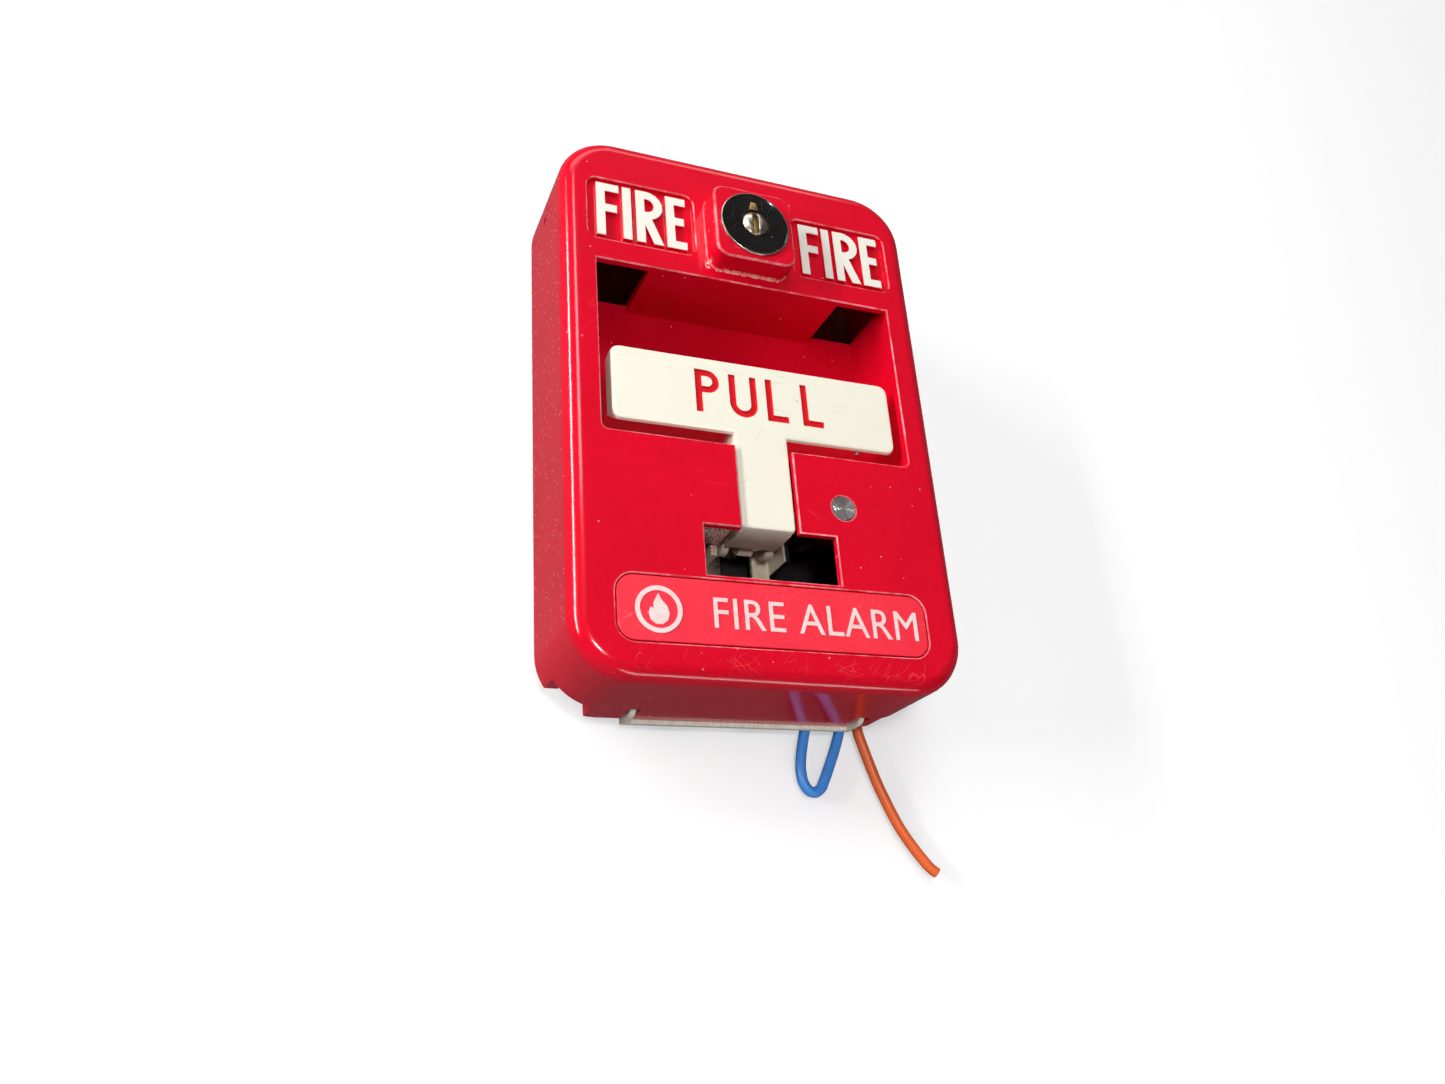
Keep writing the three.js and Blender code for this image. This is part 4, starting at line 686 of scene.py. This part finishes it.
class PULLSTATION_OT_cover(bpy.types.Operator):
    """Cast cover with its sunk word panels, finger recess and lock boss, in red enamel"""

    bl_idname = "pull_station.cover"
    bl_label = "Cover"

    def execute(self, context):
        def in_words(p):
            return p.y < FRONT_Y + 0.0014 and 0.0122 < abs(p.x) < 0.0353 and 0.0345 < p.z < 0.0489

        def at_front(p):
            return p.y < FRONT_Y + FRONT_REACH and not in_words(p)

        bm = merged_copy("cover")
        painted_highlight = bm.faces.layers.float.new("edge_highlight_paint")
        # Only the edges at the front are rounded. Rounding the inner ones makes wide faces cross themselves.
        # The faces of the rounded front edges are marked for the painted highlight along them.
        for face in round_edges(bm, sizes().casting_edge, at_front):
            face[painted_highlight] = 1.0
        round_edges(bm, sizes().word_edge, in_words, math.radians(60), 1, True)
        cover = show_piece("cover_casting", finish_mesh(bm, "cover_casting"), "cover",
                           red_enamel(colours()), ["cover"])
        even_shading(cover)
        return {"FINISHED"}


class PULLSTATION_OT_label(bpy.types.Operator):
    """Printed plate below the window, with a flame sign and plain words"""

    bl_idname = "pull_station.label"
    bl_label = "Label Plate"

    def sign(self, bm, outline, centre, size, depth):
        """Raises one closed outline of (x, z) points, sized and centred, off the label's face."""
        verts = [bm.verts.new((centre[0] + x * size, 0.0, centre[1] + z * size)) for x, z in outline]
        face = bm.faces.new(verts)
        face.normal_update()
        if face.normal.y > 0:
            face.normal_flip()
        grown = bmesh.ops.extrude_face_region(bm, geom=[face])
        moved = [v for v in grown["geom"] if isinstance(v, bmesh.types.BMVert)]
        bmesh.ops.translate(bm, verts=moved, vec=(0, -depth, 0))
        return moved

    def execute(self, context):
        plate = finer("label_plate", "label_plate_printed", 0.00016, "cover",
                      label_print_base(colours()))
        even_shading(plate)
        white = label_white()
        depth = PRINT_DEPTH
        text = bpy.data.curves.new("label_words", "FONT")
        text.body = "FIRE ALARM"
        text.size = 0.0088
        text.extrude = depth / 2
        text.resolution_u = 6
        text.space_character = 1.06
        text.align_x = "LEFT"
        holder = bpy.data.objects.new("label_words", text)
        context.scene.collection.objects.link(holder)
        mesh = bpy.data.meshes.new_from_object(holder)
        bpy.data.objects.remove(holder)
        bm = bmesh.new()
        bm.from_mesh(mesh)
        wide = max(v.co.x for v in bm.verts) - min(v.co.x for v in bm.verts)
        left = min(v.co.x for v in bm.verts)
        stretch = LABEL_WORDS_WIDE / wide
        bmesh.ops.translate(bm, verts=bm.verts, vec=(-left, 0, 0))
        bmesh.ops.scale(bm, verts=bm.verts, vec=(stretch, 1, 1))
        bmesh.ops.rotate(bm, verts=bm.verts, cent=(0, 0, 0), matrix=Matrix.Rotation(math.pi / 2, 3, "X"))
        bmesh.ops.translate(bm, verts=bm.verts, vec=(-0.0136, LABEL_FACE_Y - depth / 2, -0.0504))
        bmesh.ops.remove_doubles(bm, verts=bm.verts, dist=0.000001)
        show_piece("label_words_raised", finish_mesh(bm, "label_words_raised"), "cover",
                   white)
        bm = bmesh.new()
        flame = [(0.0, 0.5), (0.10, 0.30), (0.27, 0.10), (0.33, -0.12), (0.27, -0.34), (0.10, -0.47),
                 (-0.10, -0.47), (-0.27, -0.34), (-0.33, -0.12), (-0.26, 0.06), (-0.17, 0.0),
                 (-0.16, 0.20), (-0.08, 0.36)]
        middle = (-0.0245, -0.0475)
        self.sign(bm, flame, middle, 0.0062, depth)
        bmesh.ops.remove_doubles(bm, verts=bm.verts, dist=0.000001)
        bmesh.ops.translate(bm, verts=bm.verts, vec=(0, LABEL_FACE_Y, 0))
        bmesh.ops.recalc_face_normals(bm, faces=bm.faces)
        show_piece("label_flame_sign", finish_mesh(bm, "label_flame_sign"), "cover", white)
        outline = [(0.0037, 0.0), (0.0046, 0.0), (0.0046, -depth), (0.0037, -depth)]
        bm = turned_piece(outline, (middle[0], LABEL_FACE_Y, middle[1]), sizes().round_steps)
        show_piece("label_sign_ring", finish_mesh(bm, "label_sign_ring"), "cover", white)
        return {"FINISHED"}


class PULLSTATION_OT_lock(bpy.types.Operator):
    """Key lock: black face with a bright rim, domed plug with its keyway, and nut"""

    bl_idname = "pull_station.lock"
    bl_label = "Key Lock"

    def execute(self, context):
        edge = sizes().moulded_edge
        brass = plated("Plug nickel", (0.66, 0.62, 0.54), (0.50, 0.42, 0.28), 0.2, 0.4)
        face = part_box("lock_cylinder")[0].y
        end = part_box("lock_cylinder")[1].y
        seat = face + 0.00035
        bore = 0.00315
        outline = [
            (bore, face + 0.00022), (0.00330, face + 0.00008), (0.00745, face + 0.00014),
            (0.00758, face + 0.00006), (0.00768, face), (0.00785, face), (0.00797, face + 0.00006),
            (0.00803, face + 0.00018), (0.00805, seat),
        ]
        body_r = 0.00598
        outline.append((body_r, seat))
        y = seat + 0.0085
        outline.append((body_r, y))
        while y < end - 0.0012:
            outline.append((body_r - 0.0003, y + THREAD_PITCH / 2))
            outline.append((body_r, y + THREAD_PITCH))
            y += THREAD_PITCH
        outline.append((body_r, end - 0.0004))
        outline.append((body_r - 0.0004, end))
        outline.append((bore, end))
        bm = turned_piece(outline, (0, 0, LOCK_Z), steps=sizes().round_steps)
        show_piece("lock_face_and_barrel", finish_mesh(bm, "lock_face_and_barrel", math.radians(25)),
                   "cover", lock_finish(), ["lock_cylinder"])
        finer("lock_plug", "lock_plug_domed", edge, "lock", brass)
        wafer = plated("Wafer brass", (0.42, 0.26, 0.09), (0.28, 0.16, 0.05), 0.3, 0.5, 0.7)
        bm = bmesh.new()
        for step in range(4):
            slab = bmesh.ops.create_cube(bm, size=1.0)["verts"]
            bmesh.ops.scale(bm, verts=slab, vec=(0.00116, 0.0005, 0.0050))
            bmesh.ops.translate(bm, verts=slab, vec=(0, face + 0.0011 + step * 0.0006, LOCK_Z))
        nub = bmesh.ops.create_cube(bm, size=1.0)["verts"]
        bmesh.ops.scale(bm, verts=nub, vec=(0.0020, 0.00034, 0.0019))
        bmesh.ops.translate(bm, verts=nub, vec=(-0.0003, face - 0.00021, LOCK_Z + 0.0043))
        tip = [v for v in nub if v.co.z > LOCK_Z + 0.0043]
        bmesh.ops.scale(bm, verts=tip, vec=(0.6, 1, 1), space=Matrix.Translation((0.0003, 0, 0)))
        round_edges(bm, 0.00008)
        show_piece("lock_wafers", finish_mesh(bm, "lock_wafers"), "lock", wafer)
        chrome = plated("Bright nickel", (0.72, 0.71, 0.69), (0.60, 0.58, 0.54), 0.12, 0.3)
        finer("lock_nut", "lock_nut_plated", 0.0003, "cover", chrome)
        return {"FINISHED"}


class PULLSTATION_OT_status_light(bpy.types.Operator):
    """Ringed clear lens in the cover"""

    bl_idname = "pull_station.status_light"
    bl_label = "Status Light"

    def execute(self, context):
        low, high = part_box("status_lens")
        front, back = low.y, high.y
        neck = 0.0026
        outline = [(0.0, front), (0.00025, front + 0.00003)]
        r = 0.00035
        while r < 0.0022:
            outline.append((r, front + 0.00016))
            outline.append((r + 0.00022, front + 0.00006))
            r += 0.00030
        outline += [(neck - 0.0001, front + 0.0002), (neck, front + 0.0004), (neck, FRONT_Y + 0.00175),
                    (0.0037, FRONT_Y + 0.0018), (0.0037, FRONT_Y + 0.0027), (neck, FRONT_Y + 0.0028),
                    (neck - 0.0004, back), (0.0, back)]
        bm = turned_piece(outline, (LENS_X, 0, LENS_Z), steps=48)
        show_piece("status_lens_ringed", finish_mesh(bm, "status_lens_ringed", math.radians(30)),
                   "cover", clear_lens(), ["status_lens"])
        return {"FINISHED"}


class PULLSTATION_OT_handle(bpy.types.Operator):
    """Pull handle with its red engraved word, and a small steel stub on it"""

    bl_idname = "pull_station.handle"
    bl_label = "Pull Handle"

    def execute(self, context):
        bm = merged_copy("pull_handle")
        round_edges(bm, 0.00014, lambda p: p.y > -0.0300, clamp=True)
        handle = show_piece("pull_handle_cast", finish_mesh(bm, "pull_handle_cast"), "handle",
                            ivory_coat(colours()), ["pull_handle"])
        even_shading(handle)
        stub = plated("Stub steel", (0.62, 0.61, 0.58), (0.48, 0.47, 0.44), 0.25, 0.42)
        outline = [(0.0, -0.0007), (0.0003, -0.0007), (0.00045, -0.00055), (0.00045, 0.0011), (0.0, 0.0011)]
        bm = turned_piece(outline, (0, 0, 0), 24)
        bmesh.ops.rotate(bm, verts=bm.verts, cent=(0, 0, 0), matrix=Matrix.Rotation(math.pi / 2, 3, "X"))
        bmesh.ops.translate(bm, verts=bm.verts, vec=(0.023, -0.0293, -0.0078))
        show_piece("handle_stub", finish_mesh(bm, "handle_stub"), "handle", stub)
        return {"FINISHED"}


class PULLSTATION_OT_steel_pieces(bpy.types.Operator):
    """Pan, brackets, spring, strike, pins and screws"""

    bl_idname = "pull_station.steel_pieces"
    bl_label = "Steel Pieces"

    def execute(self, context):
        shades, edge = colours(), sizes().sheet_edge
        zinc = zinc_plate(shades)
        finer("mounting_pan", "mounting_pan_pressed", edge, "mounted", pan_plate(shades))
        finer("handle_bracket", "handle_bracket_pressed", edge, "cover",
              overspray_plate(shades), clamp=True)
        finer("strike_plate", "strike_plate_bent", edge, "mounted", zinc)
        finer("switch_bracket", "switch_bracket_bent", edge, "mounted", zinc)
        spring = plated("Rolled spring steel", (0.60, 0.59, 0.55), (0.50, 0.47, 0.42), 0.2, 0.38)
        finer("detent_spring", "detent_spring_strip", 0.00006, "cover", spring)
        finer("switch_lever", "switch_lever_strip", 0.00006, "switch_lever", spring,
              clamp=True)
        screw = plated("Zinc plated screw", shades.steel, [c * 0.78 for c in shades.steel], 0.25, 0.42)
        green = plated("Green dyed screw", (0.08, 0.40, 0.16), (0.05, 0.28, 0.12), 0.3, 0.5, 0.6)
        for name, node in frame["nodes"].items():
            if name == "ground_screw":
                finer(name, name + "_cut", 0.00012, "mounted", green)
            elif "screw" in name or name in ("hinge_pin_left", "hinge_pin_right", "pivot_pin", "lock_cam"):
                finer(name, name + "_cut", 0.00012, node["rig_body"], screw)
        return {"FINISHED"}


class PULLSTATION_OT_moulded_pieces(bpy.types.Operator):
    """Switch, module, lamp, terminal block and the switch leads"""

    bl_idname = "pull_station.moulded_pieces"
    bl_label = "Moulded Pieces"

    def execute(self, context):
        edge = sizes().moulded_edge
        black = moulded("Black moulded plastic", (0.012, 0.012, 0.013), (0.022, 0.022, 0.023),
                        0.3, 0.45, dust=(0.16, 0.14, 0.12))
        smoke = moulded("Grey nylon", (0.10, 0.10, 0.11), (0.07, 0.07, 0.08), 0.35, 0.5)
        lamp = moulded("Lamp lens", (0.045, 0.045, 0.05), (0.03, 0.03, 0.035), 0.06, 0.12,
                       Transmission_Weight=0.3)
        brass = plated("Tab brass", (0.72, 0.54, 0.27), (0.58, 0.42, 0.22), 0.25, 0.45)
        for node in ("switch_body", "module_housing", "terminal_block"):
            finer(node, node + "_moulded", edge, "mounted", black)
        finer("led", "lamp_domed", 0.0001, "mounted", lamp)
        finer("led_spacer", "lamp_spacer", 0.0001, "mounted", smoke)
        for node in ("switch_tab_1", "switch_tab_2"):
            finer(node, node + "_brass", 0.00008, "mounted", brass)
        leads = (("switch_lead_black", "black_wire", (0.012, 0.012, 0.012)),
                 ("switch_lead_red", "red_wire", (0.50, 0.012, 0.012)))
        for node, slot, tone in leads:
            cover = insulation(node.replace("_", " "), tone, [c * 0.8 for c in tone])
            finer(node, node + "_laid", 0.00006, "mounted", cover)
        return {"FINISHED"}


class PULLSTATION_OT_stage(bpy.types.Operator):
    """Pale wall and floor, soft lights and a dim sky"""

    bl_idname = "pull_station.stage"
    bl_label = "Stage"

    def backdrop(self, context):
        """A wall that bends forward into a floor, seen only from the front."""
        made = Finish("Stage white", Specular_IOR_Level=0.0)
        made.tone((0.72, 0.72, 0.73), (0.70, 0.70, 0.71), 4.0, 0.8, 0.9)
        net = made.net
        seen = net.add("ShaderNodeLightPath").outputs["Is Camera Ray"]
        made.colour = net.blend(seen, rgba((0.16, 0.155, 0.165)), made.colour)
        material = made.done()
        glow = net.sum("MULTIPLY", seen, context.scene.pull_station_stage.wall_glow)
        made.shader.inputs["Emission Color"].default_value = (1, 1, 1, 1)
        net.feed(made.shader.inputs["Emission Strength"], glow)
        clear = net.add("ShaderNodeBsdfTransparent").outputs[0]
        behind = net.add("ShaderNodeNewGeometry").outputs["Backfacing"]
        mixed = net.add("ShaderNodeMixShader", {0: behind, 1: made.shader.outputs[0], 2: clear})
        net.feed(made.end.inputs["Surface"], mixed.outputs[0])
        bm = bmesh.new()
        top, foot, back, bend = 1.6, -0.55, 0.0006, 0.25
        line = [(back, top), (back, foot + bend)]
        line += [(back - bend + math.cos(a) * bend, foot + bend - math.sin(a) * bend)
                 for a in (math.pi / 2 * k / 10 for k in range(1, 11))]
        line += [(-2.4, foot)]
        verts = [bm.verts.new((-2.2, y, z)) for y, z in line]
        edges = [bm.edges.new(pair) for pair in zip(verts, verts[1:])]
        grown = bmesh.ops.extrude_edge_only(bm, edges=edges)
        moved = [v for v in grown["geom"] if isinstance(v, bmesh.types.BMVert)]
        bmesh.ops.translate(bm, verts=moved, vec=(4.4, 0, 0))
        for face in bm.faces:
            face.normal_update()
        if bm.faces[:][0].normal.y > 0:
            bmesh.ops.reverse_faces(bm, faces=bm.faces)
        mesh = finish_mesh(bm, "stage_backdrop")
        mesh.materials.append(material)
        stage = bpy.data.objects.new("stage_backdrop", mesh)
        context.scene.collection.objects.link(stage)

    def light(self, context, name, power, place, aim, size, colour=(1, 1, 1)):
        data = bpy.data.lights.new(name, "AREA")
        data.shape = "RECTANGLE"
        data.size, data.size_y = size
        data.energy = power
        data.color = colour
        lamp = bpy.data.objects.new(name, data)
        context.scene.collection.objects.link(lamp)
        towards = Vector(aim) - Vector(place)
        lamp.matrix_world = Matrix.Translation(place) @ towards.to_track_quat("-Z", "Y").to_matrix().to_4x4()

    def execute(self, context):
        plan = context.scene.pull_station_stage
        self.backdrop(context)
        middle = (0, -0.02, 0)
        self.light(context, "key", plan.key_power, (-0.20, -0.95, 0.62), middle, (0.34, 0.34))
        self.light(context, "side", plan.side_power, (-0.80, -0.36, 0.24), middle, (0.10, 0.75))
        self.light(context, "top", plan.top_power, (0.0, -0.62, 1.02), middle, (1.1, 0.35))
        self.light(context, "low", plan.low_power, (-0.12, -0.56, -0.10), middle, (0.08, 0.08))
        self.light(context, "foot", plan.foot_power, (0.10, -0.15, -0.40), (0, -0.03, -0.06), (0.36, 0.05))
        self.light(context, "back", plan.back_power, (-0.35, 0.80, 0.30), middle, (0.6, 0.6))
        world = bpy.data.worlds.new("Sky")
        world.use_nodes = True
        net = Net(world.node_tree)
        ground = world.node_tree.nodes["Background"]
        seen = net.add("ShaderNodeLightPath").outputs["Is Camera Ray"]
        net.feed(ground.inputs[0], (1, 1, 1, 1))
        net.feed(ground.inputs[1], net.between(seen, plan.sky, 0.95))
        context.scene.world = world
        context.scene.view_settings.view_transform = "Standard"
        return {"FINISHED"}


class PULLSTATION_PT_panel(bpy.types.Panel):
    bl_label = "Pull Station"
    bl_idname = "PULLSTATION_PT_panel"
    bl_space_type = "VIEW_3D"
    bl_region_type = "UI"
    bl_category = "Pull Station"

    def draw(self, context):
        for step in STEPS:
            self.layout.operator(step.bl_idname)
        for group in ("pull_station_sizes", "pull_station_colours", "pull_station_stage"):
            box = self.layout.box()
            settings = getattr(context.scene, group)
            for key in settings.__annotations__:
                box.prop(settings, key)


STEPS = (
    PULLSTATION_OT_camera,
    PULLSTATION_OT_field_wires,
    PULLSTATION_OT_cover,
    PULLSTATION_OT_label,
    PULLSTATION_OT_lock,
    PULLSTATION_OT_status_light,
    PULLSTATION_OT_handle,
    PULLSTATION_OT_steel_pieces,
    PULLSTATION_OT_moulded_pieces,
    PULLSTATION_OT_stage,
)
SETTINGS = {
    "pull_station_sizes": PullStationSizes,
    "pull_station_colours": PullStationColours,
    "pull_station_stage": PullStationStage,
}
SHARED_GROUPS = (patchy_tone_group, skin_group, specks_group, scuffs_group, plating_group)


def register():
    for kind in (*SETTINGS.values(), *STEPS, PULLSTATION_PT_panel):
        bpy.utils.register_class(kind)
    for key, kind in SETTINGS.items():
        setattr(bpy.types.Scene, key, PointerProperty(type=kind))


def unregister():
    for key in SETTINGS:
        delattr(bpy.types.Scene, key)
    for kind in reversed((*SETTINGS.values(), *STEPS, PULLSTATION_PT_panel)):
        bpy.utils.unregister_class(kind)


def main():
    register()
    for make_group in SHARED_GROUPS:
        make_group()
    for step in STEPS:
        family, name = step.bl_idname.split(".")
        getattr(getattr(bpy.ops, family), name)()


if __name__ == "__main__":
    main()
